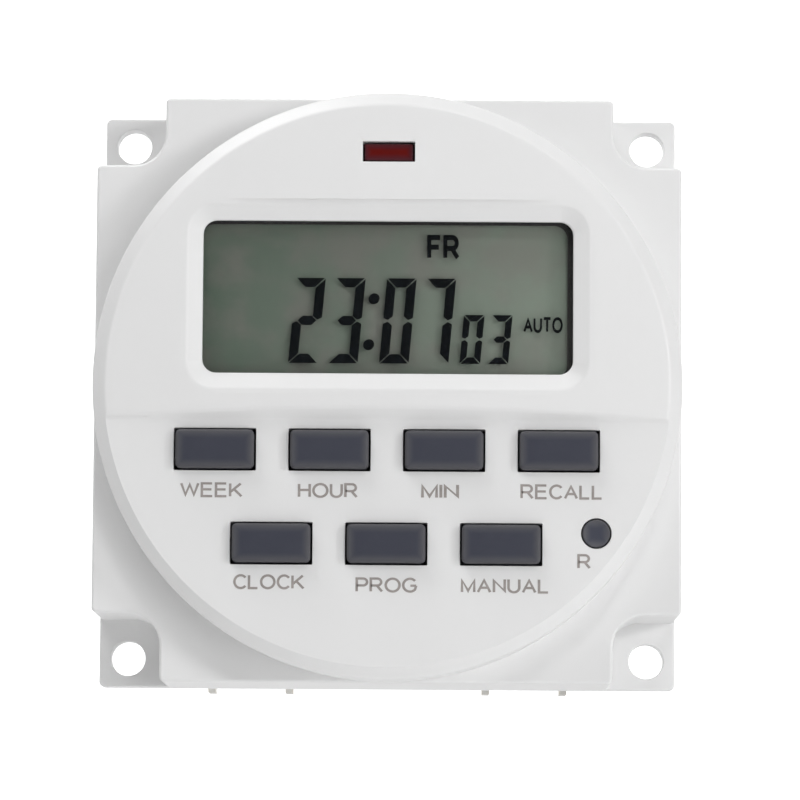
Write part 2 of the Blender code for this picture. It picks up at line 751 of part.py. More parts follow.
def rail_latch():
    """Sliding bolt: a tongue over the rail's lower edge, side ribs, a spring lug and a pry slot.

    Its origin is on the line that it slides along, at the edge that holds the rail.
    """
    tip = HOOK_LAP - CHANNEL_HALF - RAIL_PLAY
    shoulder = -CHANNEL_HALF - GAP
    bottom = latch_block_bottom() - LATCH_GRIP
    lead_in = 1.2 * MM
    chamfer = 0.6 * MM
    outline = [
        (LATCH_FRONT, bottom + chamfer),
        (LATCH_FRONT, shoulder),
        (LIP_FRONT, shoulder),
        (LIP_FRONT, tip),
        (LATCH_BACK - lead_in, tip),
        (LATCH_BACK, tip - lead_in),
        (LATCH_BACK, bottom),
        (LATCH_FRONT + chamfer, bottom),
    ]
    latch = prism("rail_latch", [(y, z - tip) for y, z in outline], "X", -LATCH_X, LATCH_X)
    low, high = latch_rib()
    rib_x = LATCH_X + LATCH_RIB
    lug_top = spring_pocket()[1] - GAP - tip
    lug = (spring_y() - SPRING_RADIUS, rib_back())
    ribs = box("latch_ribs", (-rib_x, rib_x), (LATCH_FRONT, rib_back()), (low - tip, high - tip))
    lug = box("latch_lug", (-SPRING_RADIUS, SPRING_RADIUS), lug, (lug_top - LUG_SIZE, lug_top))
    slot_x = 2.2 * MM
    slot = (bottom + 0.8 * MM - tip, bottom + 1.7 * MM - tip)
    pry_slot = box("pry_slot", (-slot_x, slot_x), (LATCH_FRONT - WALL, LATCH_BACK + WALL), slot)
    for tool in (ribs, lug, pry_slot):
        tool.parent = latch
    return put(keep(cut(join(latch, ribs, lug), pry_slot), "latch_grey"), 0, 0, tip)


def latch_spring():
    """Compression spring as a round wire along a helix, with its closed ends left plain."""
    low, high = spring_ends()
    length = high - low - 2 * SPRING_WIRE
    per_turn = 12
    count = int(SPRING_TURNS * per_turn) + 1
    curve = bpy.data.curves.new("latch_spring", "CURVE")
    curve.dimensions = "3D"
    curve.bevel_depth = SPRING_WIRE
    curve.bevel_resolution = 2
    curve.use_fill_caps = True
    spline = curve.splines.new("POLY")
    spline.points.add(count - 1)
    for k, point in enumerate(spline.points):
        angle = 2 * pi * k / per_turn
        rise = SPRING_WIRE + length * k / (count - 1)
        point.co = (SPRING_RADIUS * cos(angle), SPRING_RADIUS * sin(angle), rise, 1)
    return put(keep(bpy.data.objects.new("latch_spring", curve), "bright_metal"), 0, spring_y(), low)


# ---------------------------------------------------------------- display and indicator


def glass_limits():
    grow = LENS_LAP + GLASS_LAP
    return (-WINDOW_X - grow, WINDOW_X + grow), (WINDOW_BOTTOM - grow, WINDOW_TOP + grow)


def display_window():
    outline = window_outline(LENS_LAP, WINDOW_CORNER)
    lens = prism("display_window", outline, "Y", LENS_FRONT, LENS_FRONT + LENS_THICKNESS)
    return keep(lens, "clear_plastic")


def lcd_glass():
    x, z = glass_limits()
    return keep(box("lcd_glass", x, (GLASS_FRONT, GLASS_BACK), z), "display_glass")


def zebra_limits():
    x, z = glass_limits()
    bottom = z[0] + ZEBRA_INSET
    return widened(x, -ZEBRA_END_INSET), (bottom, bottom + ZEBRA_WIDTH)


def zebra_strip():
    x, z = zebra_limits()
    return keep(box("zebra_strip", x, (GLASS_BACK + GAP, BOARD_FRONT - GAP), z), "dark_silicone")


def lcd_frame():
    """Tray that holds the glass off the board, with a slot for the connector and an open back."""
    x, z = glass_limits()
    grow = GAP + FRAME_WALL
    front = INNER_FACE + GAP
    frame = box("lcd_frame", widened(x, grow), (front, BOARD_FRONT - GAP), widened(z, grow))
    pocket = box("glass_pocket", widened(x, GAP), (front - WALL, GLASS_BACK + GAP), widened(z, GAP))
    zebra_x, zebra_z = zebra_limits()
    through = (front - WALL, BOARD_FRONT + WALL)
    slot = box("zebra_slot", widened(zebra_x, GAP), through, widened(zebra_z, GAP))
    rim = 2 * MM
    lighten = box("open_back", widened(x, -1.5 * rim), through, (zebra_z[1] + rim, z[1] - rim))
    cut(frame, pocket, slot, lighten)
    corners = along_y("frame_corners", BEZEL_BORE - GAP, 0, 0, front - WALL, BOARD_FRONT, 96)
    combine(frame, corners, "INTERSECT")
    return keep(frame, "dark_frame")


def indicator_window():
    """Small red lens: a plug in its hole and a flange behind the face."""
    width, height = INDICATOR_SIZE
    hole = ((-width / 2, width / 2), (-height / 2, height / 2))
    plug = rectangle(*[widened(side, -LENS_GAP) for side in hole])
    flange = rectangle(*[widened(side, INDICATOR_LAP) for side in hole])
    sections = [
        at(plug, KEY_FACE_Y + 0.1 * MM),
        at(plug, INNER_FACE + GAP),
        at(flange, INNER_FACE + GAP),
        at(flange, INNER_FACE + 3 * GAP),
    ]
    return put(keep(loft("indicator_window", sections), "red_plastic"), 0, 0, INDICATOR_Z)


def indicator_led():
    """Domed lamp with a collar at its foot, standing on the control board."""
    foot = BOARD_FRONT - GAP
    tip = INNER_FACE + 4 * GAP
    length = foot - tip
    straight = length - LED_RADIUS
    profile = []
    for k in range(5):
        angle = k * pi / 8
        profile.append((LED_RADIUS * sin(angle), straight + LED_RADIUS * cos(angle)))
    collar = LED_RADIUS + 0.3 * MM
    collar_height = 0.8 * MM
    profile += [(LED_RADIUS, collar_height), (collar, collar_height), (collar, 0), (0, 0)]
    return put(keep(turned("indicator_led", profile, 20), "red_plastic"), 0, foot, INDICATOR_Z)


# ---------------------------------------------------------------- keys


def key_depths():
    """Distances behind the key face: front, lip front, lip back and the back of the stem."""
    lip_front = FACE_WALL + GAP
    lip_back = lip_front + LIP_THICKNESS
    stem_back = FACE_WALL + CONTROL_STACK - GAP - KEY_TRAVEL - PILL_THICKNESS - GAP
    return -KEY_RISE, lip_front, lip_back, stem_back


def key_solid(name, outlines, soften):
    """A key from three outlines: its top, the lip that holds it in, and the stem behind."""
    top, small_top, lip, stem = outlines
    front, lip_front, lip_back, stem_back = key_depths()
    sections = [
        at(small_top, front),
        at(top, front + soften),
        at(top, lip_front),
        at(lip, lip_front),
        at(lip, lip_back),
        at(stem, lip_back),
        at(stem, stem_back),
    ]
    return keep(loft(name, sections), "dark_silicone")


def key_outline(grow, radius=KEY_CORNER):
    x = KEY_WIDTH / 2 + grow
    z = KEY_LENGTH / 2 + grow
    return rectangle((-x, x), (-z, z), radius, 3)


def pill(name, key, outline):
    """Carbon contact behind a key. It rides on the key."""
    back = key_depths()[3] + GAP
    contact = keep(loft(name, [at(outline, back), at(outline, back + PILL_THICKNESS)]), "carbon")
    contact.parent = key
    return contact


def keys():
    """All eight keys, each with its origin on its own axis in the plane of the key face."""
    soften = 0.35 * MM
    outlines = (key_outline(0), key_outline(-0.3 * MM), key_outline(KEY_LIP), key_outline(-STEM_INSET))
    first = None
    first_pill = None
    for name, (x, z) in key_places().items():
        if first is None:
            key = first = key_solid(f"key_{name}", outlines, soften)
            first_pill = pill(f"pill_{name}", key, key_outline(-STEM_INSET - PILL_INSET))
        else:
            key = copy_of(first, f"key_{name}", "dark_silicone")
            copy_of(first_pill, f"pill_{name}", "carbon").parent = key
        put(key, x, KEY_FACE_Y, z)
    reset = reset_key()
    pill("pill_reset", reset, circle(RESET_RADIUS - RESET_STEM_INSET - PILL_INSET, 16))


def reset_key():
    """Small round key, nearly flush, worked with a pen."""
    soften = 0.15 * MM
    lip = circle(RESET_RADIUS + RESET_LIP)
    stem = circle(RESET_RADIUS - RESET_STEM_INSET)
    _, lip_front, lip_back, stem_back = key_depths()
    sections = [
        at(circle(RESET_RADIUS - soften), -RESET_RISE),
        at(circle(RESET_RADIUS), soften - RESET_RISE),
        at(circle(RESET_RADIUS), lip_front),
        at(lip, lip_front),
        at(lip, lip_back),
        at(stem, lip_back),
        at(stem, stem_back),
    ]
    key = keep(loft("key_reset", sections), "dark_silicone")
    return put(key, RESET_PLACE[0], KEY_FACE_Y, RESET_PLACE[1])


def keypad_web():
    """Rubber sheet on the board, with a collar round each key's stem."""
    back = BOARD_FRONT - GAP
    front = back - WEB_THICKNESS
    collar_front = KEY_FACE_Y + key_depths()[2] + KEY_TRAVEL + GAP
    top = UPPER_ROW_Z + KEY_LENGTH / 2 + 0.6 * MM
    bottom = LOWER_ROW_Z - KEY_LENGTH / 2 - 2.0 * MM
    sheet = prism("keypad_web", sheet_outline(BEZEL_BORE - 0.5 * MM, bottom, top), "Y", front, back)
    collar_y = (collar_front, back - WEB_THICKNESS / 2)
    hole_y = (collar_front - WALL, back + WALL)
    collars = []
    holes = []
    for name, place in key_places().items():
        collars.append(round_stem(f"collar_{name}", place, GAP + COLLAR_WALL, collar_y))
        holes.append(round_stem(f"collar_hole_{name}", place, GAP, hole_y))
    bore = RESET_RADIUS - RESET_STEM_INSET + GAP
    collars.append(along_y("collar_reset", bore + RESET_COLLAR_WALL, *RESET_PLACE, *collar_y))
    holes.append(along_y("collar_hole_reset", bore, *RESET_PLACE, *hole_y))
    return keep(cut(join(sheet, *collars), *holes), "dark_silicone")


def round_stem(name, place, grow, ends):
    """A block this much larger than the stem of the key at this place."""
    x, z = place
    side = KEY_WIDTH / 2 - STEM_INSET + grow
    end = KEY_LENGTH / 2 - STEM_INSET + grow
    return box(name, (x - side, x + side), ends, (z - end, z + end))


def sheet_outline(radius, bottom, top):
    """The part of a disc between two heights, below its centre, cut clear of the side screws."""
    side = BEZEL_BORE - 2 * BOARD_BOSS_RADIUS - 0.2 * MM
    points = [(-side, top), (-side, top - 2 * MM)]
    low_x = sqrt(radius**2 - bottom**2)
    steps = 8
    side_z = top - 4 * MM
    side_x = sqrt(radius**2 - side_z**2)
    for k in range(steps + 1):
        x = side_x + (low_x - side_x) * k / steps
        points.append((-x, -sqrt(radius**2 - x**2)))
    return points + [(-x, z) for x, z in reversed(points)]


# ---------------------------------------------------------------- boards


def control_board():
    board = along_y("control_board", BEZEL_BORE - EDGE_GAP, 0, 0, BOARD_FRONT, BOARD_BACK, 72)
    for i, (x, z) in enumerate(board_screw_places()):
        ends = (BOARD_FRONT - WALL, BOARD_BACK + WALL)
        cut(board, along_y(f"board_hole_{i + 1}", BOARD_SCREW_RADIUS + GAP, x, z, *ends))
    return keep(cut(board, *pin_holes("control", BOARD_FRONT, BOARD_BACK)), "board_green")


def power_board():
    bottom = TUB_BOTTOM + GAP
    sides = (-POWER_BOARD_X, POWER_BOARD_X)
    board = box("power_board", sides, (POWER_BOARD_FRONT, POWER_BOARD_BACK), (bottom, POWER_BOARD_TOP))
    through = (POWER_BOARD_FRONT - WALL, POWER_BOARD_BACK + WALL)
    for i, (x, z) in enumerate(power_screw_places()):
        cut(board, along_y(f"power_hole_{i + 1}", BOARD_SCREW_RADIUS + GAP, x, z, *through))
    low, high = solder_pin()
    for i, x in enumerate(BLADE_PLACES):
        slot = (x - BLADE_THICKNESS / 2 - GAP, x + BLADE_THICKNESS / 2 + GAP)
        cut(board, box(f"pin_slot_{i + 1}", slot, through, (low - GAP, high + GAP)))
    return keep(cut(board, *pin_holes("power", POWER_BOARD_FRONT, POWER_BOARD_BACK)), "board_green")


def link_pins():
    return [(i - (LINK_PINS - 1) / 2) * PIN_PITCH for i in range(LINK_PINS)]


def pin_holes(label, front, back):
    half = PIN_WIDTH / 2 + GAP
    ends = (front - WALL, back + WALL)
    z = (LINK_Z - half, LINK_Z + half)
    return [box(f"{label}_pin_{i}", (x - half, x + half), ends, z) for i, x in enumerate(link_pins())]


def board_link():
    """Pin strip that joins the two boards."""
    half = LINK_PINS * PIN_PITCH / 2
    block_back = POWER_BOARD_FRONT - GAP
    block_z = (LINK_Z - LINK_HEIGHT / 2, LINK_Z + LINK_HEIGHT / 2)
    strip = box("board_link", (-half, half), (block_back - PIN_PITCH, block_back), block_z)
    pin = PIN_WIDTH / 2
    ends = (BOARD_FRONT + GAP, POWER_BOARD_BACK + PIN_WIDTH)
    for i, x in enumerate(link_pins()):
        join(strip, box(f"link_pin_{i}", (x - pin, x + pin), ends, (LINK_Z - pin, LINK_Z + pin)))
    return keep(strip, "chip_black")


def block(name, size, x, z, seat, way, look):
    """A rectangular component centred on this x and z. Way is the sign of y that it stands towards."""
    width, height, length = size
    depth = sorted((seat, seat + way * height))
    return keep(box(name, (x - width / 2, x + width / 2), depth, (z - length / 2, z + length / 2)), look)


def can(name, size, x, z, seat, way, look, sides=24):
    """A round component that stands on end."""
    radius, height = size
    return keep(along_y(name, radius, x, z, seat, seat + way * height, sides), look)


def control_components():
    """Pieces on the back of the control board."""
    seat = BOARD_BACK + GAP
    block("controller_chip", CHIP_SIZE, CHIP_SIZE[0] / 2, CHIP_SIZE[2] / 2, seat, 1, "chip_black")
    radius, length = CRYSTAL_SIZE
    centre = Vector((5 * MM, seat + radius, -3.5 * MM))
    ends = (centre.x - length / 2, centre.x + length / 2)
    keep(rod("clock_crystal", radius, "X", centre, *ends, 16), "bright_metal")
    x, z = -13.5 * MM, 9.5 * MM
    can("backup_battery", BATTERY_SIZE, x, z, seat, 1, "battery_green")
    battery_strap(x, z, seat)


def battery_strap(x, z, seat):
    """Bent strip from the board over the middle of the battery."""
    radius, height = BATTERY_SIZE
    sides = (x - STRAP_WIDTH / 2, x + STRAP_WIDTH / 2)
    inside = z + radius + GAP
    outside = inside + STRAP_THICKNESS
    face = seat + height + GAP
    strap = box("battery_strap", sides, (face, face + STRAP_THICKNESS), (z, outside))
    leg = box("strap_leg", sides, (seat, face + STRAP_THICKNESS), (inside, outside))
    keep(join(strap, leg), "bright_metal")


def power_components():
    """Pieces on the front of the power board, each standing just clear of it."""
    seat = POWER_BOARD_FRONT - GAP
    low = solder_pin()[1] + 0.8 * MM
    block("relay", RELAY_SIZE, -10.8 * MM, low + RELAY_SIZE[2] / 2, seat, -1, "relay_blue")
    dropper_z = low + 0.8 * MM + DROPPER_SIZE[2] / 2
    block("dropper_capacitor", DROPPER_SIZE, 10 * MM, dropper_z, seat, -1, "yellow_film")
    can("smoothing_capacitor", SMOOTHING_SIZE, 15.5 * MM, 13 * MM, seat, -1, "sleeve_black")
    block("bridge_rectifier", RECTIFIER_SIZE, 2 * MM, 0.2 * MM, seat, -1, "chip_black")
    can("relay_transistor", TRANSISTOR_SIZE, 6.5 * MM, 11 * MM, seat, -1, "chip_black", 16)
    radius, thickness = VARISTOR_SIZE
    centre = Vector((13.5 * MM, seat - radius, -0.5 * MM))
    ends = (centre.z - thickness / 2, centre.z + thickness / 2)
    keep(rod("varistor", radius, "Z", centre, *ends), "ceramic_blue")
    radius, length = RESISTOR_SIZE
    centre = Vector((-11.5 * MM, seat - radius, -1.5 * MM))
    ends = (centre.x - length / 2, centre.x + length / 2)
    keep(rod("fuse_resistor", radius, "X", centre, *ends, 16), "resistor_green")


# ---------------------------------------------------------------- terminals and screws


def blade_tang():
    """Front and back of the narrow neck that rises through the shelf."""
    return (POWER_BOARD_BACK + GAP, TUB_FLOOR - EDGE_GAP)


def solder_pin():
    """Lower and upper edge of the pin that goes through the power board."""
    low = TUB_BOTTOM + PIN_RISE
    return (low, low + PIN_HEIGHT)


def terminal_blades():
    """Flat push-on blades pointing down, each with a tapered tip."""
    shoulder = SHELF_BOTTOM - GAP
    front, back = blade_tang()
    pin_low, pin_high = solder_pin()
    pin_tip = POWER_BOARD_FRONT - PIN_TIP
    outline = [
        (BLADE_FRONT, shoulder),
        (BLADE_FRONT, BLADE_TIP + BLADE_TAPER),
        (BLADE_FRONT + BLADE_TAPER, BLADE_TIP),
        (BLADE_BACK - BLADE_TAPER, BLADE_TIP),
        (BLADE_BACK, BLADE_TIP + BLADE_TAPER),
        (BLADE_BACK, shoulder),
        (back, shoulder),
        (back, pin_high),
        (pin_tip, pin_high),
        (pin_tip, pin_low),
        (front, pin_low),
        (front, shoulder),
    ]
    half = BLADE_THICKNESS / 2
    blade = prism("terminal_blade_1", outline, "X", -half, half)
    keep(put(blade, BLADE_PLACES[0], 0, 0), "tinned_brass")
    for i, x in enumerate(BLADE_PLACES[1:]):
        put(copy_of(blade, f"terminal_blade_{i + 2}", "tinned_brass"), x, 0, 0)


def screw_set(name, radius, head_radius, length, places, seat, forward):
    """Pan-head screws along Y. Seat is the plane under the head, and forward means pointing to -Y."""
    profile = [
        (0, length),
        (radius - 0.3 * MM, length),
        (radius, length - 0.5 * MM),
        (radius, 0),
        (head_radius, 0),
        (head_radius, 0.4 * MM - HEAD_HEIGHT),
        (head_radius - 0.5 * MM, -HEAD_HEIGHT),
        (0, -HEAD_HEIGHT),
    ]
    mesh = profile_mesh(name, profile)
    for i, (x, z) in enumerate(places):
        screw = keep(spun(f"{name}_{i + 1}", mesh, 20), "bright_metal")
        if not forward:
            screw.rotation_euler = (-pi / 2, 0, 0)
        put(screw, x, seat, z)


def screws():
    case = (CASE_SCREW_RADIUS, CASE_HEAD_RADIUS, CASE_SCREW_LENGTH)
    screw_set("case_screw", *case, case_screw_places(), COVER_PLATE_BACK + GAP, True)
    board = (BOARD_SCREW_RADIUS, BOARD_HEAD_RADIUS, BOARD_SCREW_LENGTH)
    screw_set("board_screw", *board, board_screw_places(), BOARD_BACK + GAP, True)
    power = (BOARD_SCREW_RADIUS, BOARD_HEAD_RADIUS, POWER_SCREW_LENGTH)
    screw_set("power_screw", *power, power_screw_places(), POWER_BOARD_FRONT - GAP, False)


clear_scene()
PARTS = new_group("din_rail_timer")
CUTTERS = new_group("cutters", hidden=True)
front_housing()
rear_cover()
rail_latch()
latch_spring()
display_window()
lcd_glass()
zebra_strip()
lcd_frame()
indicator_window()
indicator_led()
keys()
keypad_web()
control_board()
power_board()
board_link()
control_components()
power_components()
terminal_blades()
screws()
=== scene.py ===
"""Looks for the programmable timer: fine meshes, procedural materials, light and camera.

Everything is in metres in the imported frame: X to the right, Z up, and the face looks along -Y.
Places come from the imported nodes' boxes. The sizes below are the ones that no box can give.
"""

from math import atan2, cos, hypot, pi, radians, sin, tan

import bmesh
import bpy
from mathutils import Matrix, Vector


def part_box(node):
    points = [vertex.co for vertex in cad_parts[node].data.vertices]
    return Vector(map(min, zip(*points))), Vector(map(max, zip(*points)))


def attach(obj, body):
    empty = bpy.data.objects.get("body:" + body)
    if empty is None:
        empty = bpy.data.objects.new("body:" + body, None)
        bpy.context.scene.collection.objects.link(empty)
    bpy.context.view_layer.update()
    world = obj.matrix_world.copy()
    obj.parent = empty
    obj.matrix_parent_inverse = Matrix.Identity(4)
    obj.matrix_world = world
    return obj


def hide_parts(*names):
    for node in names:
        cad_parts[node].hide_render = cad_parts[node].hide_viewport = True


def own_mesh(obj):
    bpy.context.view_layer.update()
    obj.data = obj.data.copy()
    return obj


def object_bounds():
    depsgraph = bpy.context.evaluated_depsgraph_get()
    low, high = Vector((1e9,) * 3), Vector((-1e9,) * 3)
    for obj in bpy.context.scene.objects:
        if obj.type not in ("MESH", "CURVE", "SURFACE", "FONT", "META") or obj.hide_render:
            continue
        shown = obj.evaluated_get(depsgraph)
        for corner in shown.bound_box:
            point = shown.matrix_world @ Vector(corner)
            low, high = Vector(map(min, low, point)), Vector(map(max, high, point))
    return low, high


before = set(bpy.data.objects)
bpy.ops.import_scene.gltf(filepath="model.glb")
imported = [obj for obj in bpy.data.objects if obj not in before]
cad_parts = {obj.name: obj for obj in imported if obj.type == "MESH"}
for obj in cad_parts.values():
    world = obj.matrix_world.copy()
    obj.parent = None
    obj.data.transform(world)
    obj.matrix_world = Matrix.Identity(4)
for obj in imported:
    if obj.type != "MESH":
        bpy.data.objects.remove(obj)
CAD_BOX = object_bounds()

MM = 0.001
GAP = 0.3 * MM

# Case
WALL = 1.6 * MM
CORNER_NOTCH = 7.0 * MM
NOTCH_FILLET = 3.3 * MM
CORNER_RADIUS = 0.5 * MM
EAR_THICKNESS = 2.5 * MM
EAR_CORNER = 0.6 * MM
EAR_HOLE_RADIUS = 1.8 * MM
EAR_HOLE_INSET = 3.0 * MM
RIM_RECESS = 0.5 * MM
SOFT_EDGE = 0.3 * MM

# Bezel
BEZEL_INSET = 0.1 * MM
BEZEL_HEIGHT = 6.0 * MM
BEZEL_WALL = 1.7 * MM
DOME_HEIGHT = 0.8 * MM
RIM_CHAMFER = 1.35 * MM
RIM_CHAMFER_DEPTH = 1.0 * MM
RIM_TOP_RADIUS = 0.7 * MM
RIM_SIDE_RADIUS = 0.45 * MM
KEY_FACE_DROP = 0.9 * MM
STEP_Z = -3.7 * MM
STEP_RUN = 1.2 * MM
STEP_TILT = atan2(KEY_FACE_DROP, STEP_RUN)
STEP_FOOT_RADIUS = 0.6 * MM
STEP_EDGE_RADIUS = 0.9 * MM

# Display
LENS_LAP = 0.9 * MM
LENS_GAP = 0.2 * MM
GLASS_LAP = 0.3 * MM
WINDOW_CORNER = 1.4 * MM
WINDOW_BEVEL = 1.6 * MM
BEVEL_DEPTH = 1.1 * MM
BEVEL_EDGE_RADIUS = 0.8 * MM
WINDOW_LAND = 0.4 * MM

# Keys
KEY_LIP = 0.7 * MM
KEY_CORNER = 0.5 * MM
KEY_SIDE_GAP = 0.19 * MM
HOLE_CORNER = 0.1 * MM
RESET_LIP = 0.45 * MM
RESET_SIDE_GAP = 0.14 * MM
RESET_STEM_INSET = 0.3 * MM
LIP_THICKNESS = 1 * MM
KEY_NAMES = ("week", "hour", "minute", "recall", "clock", "program", "manual")

# Bosses behind the face
CASE_BOSS_RADIUS = 2.8 * MM
CASE_PILOT_RADIUS = 1.5 * MM
CASE_PILOT_DEPTH = 9 * MM
BOARD_BOSS_RADIUS = 2.2 * MM
BOARD_PILOT_RADIUS = 1.15 * MM

# Case screws
SCREW_HEAD = 1.2 * MM
THREAD_RADIUS = 1.2 * MM
THREAD_PITCH = 0.8 * MM

# Latch spring
SPRING_WIRE = 0.15 * MM  # its radius
SPRING_TURNS = 4.5

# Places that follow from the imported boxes
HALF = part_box("front_housing")[1].x
EAR_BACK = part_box("front_housing")[1].y
FRONT_Y = CAD_BOX[0].y
BASE_FRONT = FRONT_Y + BEZEL_HEIGHT
BEZEL_RADIUS = HALF - BEZEL_INSET
PLATEAU_RADIUS = BEZEL_RADIUS - RIM_CHAMFER
PLATEAU_Y = FRONT_Y + DOME_HEIGHT
KEY_FACE_Y = FRONT_Y + KEY_FACE_DROP
INNER_FACE = KEY_FACE_Y + WALL
RIM_Y = EAR_BACK - RIM_RECESS
BOARD_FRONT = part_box("control_board")[0].y
LENS_LOW, LENS_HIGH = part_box("display_window")
GLASS_LOW, GLASS_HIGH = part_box("lcd_glass")
WINDOW_X = LENS_HIGH.x - LENS_LAP
WINDOW_BOTTOM = LENS_LOW.z + LENS_LAP
WINDOW_TOP = LENS_HIGH.z - LENS_LAP


# ---------------------------------------------------------------- shader nodes


def add(tree, kind, inputs=None, **settings):
    """A shader node. An input given as a socket is linked, and any other value is set."""
    made = tree.nodes.new("ShaderNode" + kind)
    for name, value in settings.items():
        setattr(made, name, value)
    for name, value in (inputs or {}).items():
        if isinstance(value, bpy.types.NodeSocket):
            tree.links.new(value, made.inputs[name])
        else:
            made.inputs[name].default_value = value
    return made


def mixed(tree, share, first, second):
    """A colour between two others."""
    mix = add(tree, "Mix", {0: share, 6: first, 7: second}, data_type="RGBA")
    return mix.outputs[2]


def ranged(tree, value, low, high, new_low, new_high, smooth=False):
    """A value carried from one range to another, and held at its ends."""
    limits = {"Value": value, "From Min": low, "From Max": high, "To Min": new_low, "To Max": new_high}
    kind = "SMOOTHSTEP" if smooth else "LINEAR"
    return add(tree, "MapRange", limits, interpolation_type=kind).outputs["Result"]


def noise(tree, place, size, detail=3.0):
    """Noise from 0 to 1 whose features are about this size in metres."""
    made = add(tree, "TexNoise", {"Vector": place, "Scale": 1 / size, "Detail": detail})
    return made.outputs["Fac"]


def scaled(colour, factor):
    return (*(min(1.0, part * factor) for part in colour), 1.0)


def edge_mask(tree, radius):
    """0 on flat ground and 1 on a convex or concave edge of about this radius."""
    bevel = add(tree, "Bevel", {"Radius": radius}, samples=4)
    normal = add(tree, "NewGeometry").outputs["Normal"]
    dot = add(tree, "VectorMath", {0: bevel.outputs["Normal"], 1: normal}, operation="DOT_PRODUCT")
    return ranged(tree, dot.outputs["Value"], 1.0, 0.86, 0.0, 1.0)


def roughen(tree, shader, height, distance, strength=1.0):
    """Lets a pattern stand out of the surface by up to this distance."""
    bump = add(tree, "Bump", {"Height": height, "Distance": distance, "Strength": strength})
    tree.links.new(bump.outputs["Normal"], shader.inputs["Normal"])


def new_material(name):
    """An empty Principled material: (material, tree, shader)."""
    made = bpy.data.materials.new(name)
    made.use_nodes = True
    tree = made.node_tree
    return made, tree, tree.nodes["Principled BSDF"]


def surface(
    name,
    colour,
    roughness,
    metallic=0.0,
    mottle=0.02,
    patch=8 * MM,
    grain=0.12 * MM,
    depth=0.0015 * MM,
    wear=0.0,
    wear_colour=(0.9, 0.9, 0.9),
    coat=0.0,
    specular=0.5,
):
    """A moulded, cast or coated solid: slow colour variation, fine grain, and rubbed edges."""
    made, tree, shader = new_material(name)
    place = add(tree, "TexCoord").outputs["Object"]
    slow = noise(tree, place, patch)
    fine = noise(tree, place, grain, 2.0)
    tone = mixed(
        tree,
        ranged(tree, slow, 0.3, 0.7, 0.0, 1.0),
        scaled(colour, 1 - mottle),
        scaled(colour, 1 + mottle),
    )
    if wear:
        edges = edge_mask(tree, 0.15 * MM)
        patches = ranged(tree, noise(tree, place, 1.2 * MM), 0.3, 0.7, 0.4, 1.0)
        rubbed = add(tree, "Math", {0: edges, 1: wear}, operation="MULTIPLY")
        broken = add(tree, "Math", {0: rubbed.outputs[0], 1: patches}, operation="MULTIPLY")
        tone = mixed(tree, broken.outputs[0], tone, (*wear_colour, 1.0))
    gloss = ranged(tree, fine, 0.2, 0.8, roughness * 0.85, roughness * 1.15)
    tree.links.new(tone, shader.inputs["Base Color"])
    tree.links.new(gloss, shader.inputs["Roughness"])
    roughen(tree, shader, fine, depth)
    shader.inputs["Metallic"].default_value = metallic
    shader.inputs["Coat Weight"].default_value = coat
    shader.inputs["Specular IOR Level"].default_value = specular
    return made


def edge_distance(tree, half_x, half_z):
    """How far in from the sides of a flat rectangle about the object's origin, in metres."""
    place = add(tree, "SeparateXYZ", {0: add(tree, "TexCoord").outputs["Object"]})
    sides = []
    for axis, half in (("X", half_x), ("Z", half_z)):
        size = add(tree, "Math", {0: place.outputs[axis]}, operation="ABSOLUTE")
        sides.append(add(tree, "Math", {0: half, 1: size.outputs[0]}, operation="SUBTRACT").outputs[0])
    return add(tree, "Math", {0: sides[0], 1: sides[1]}, operation="MINIMUM").outputs[0]


def silicone(name, half_x, half_z, tone=1.0):
    """Dark silicone, paler within about a millimetre of its edges: a painted highlight."""
    made, tree, shader = new_material(name)
    place = add(tree, "TexCoord").outputs["Object"]
    inward = edge_distance(tree, half_x, half_z)
    slow = noise(tree, place, 2.5 * MM)
    fine = noise(tree, place, 0.1 * MM, 2.0)
    core = mixed(tree, slow, scaled((0.036, 0.039, 0.058), tone), scaled((0.043, 0.046, 0.064), tone))
    # The pale tone, blended in towards the edges, is a painted highlight.
    pale = mixed(tree, slow, scaled((0.076, 0.076, 0.085), tone), scaled((0.090, 0.089, 0.097), tone))
    painted_edge_shading = ranged(tree, inward, 0.05 * MM, 1.0 * MM, 0.9, 0.0, True)
    tree.links.new(mixed(tree, painted_edge_shading, core, pale), shader.inputs["Base Color"])
    tree.links.new(ranged(tree, fine, 0.2, 0.8, 0.55, 0.7), shader.inputs["Roughness"])
    roughen(tree, shader, fine, 0.002 * MM)
    shader.inputs["Specular IOR Level"].default_value = 0.35
    return made


def clear_pane(name, tint, alpha):
    """A clear sheet: light passes straight through, with a faint haze and gloss."""
    made, tree, shader = new_material(name)
    place = add(tree, "TexCoord").outputs["Object"]
    smear = noise(tree, place, 6 * MM)
    tree.links.new(ranged(tree, smear, 0.3, 0.7, 0.05, 0.1), shader.inputs["Roughness"])
    tone = mixed(tree, smear, scaled(tint, 0.95), scaled(tint, 1.05))
    tree.links.new(tone, shader.inputs["Base Color"])
    shader.inputs["Alpha"].default_value = alpha
    return made


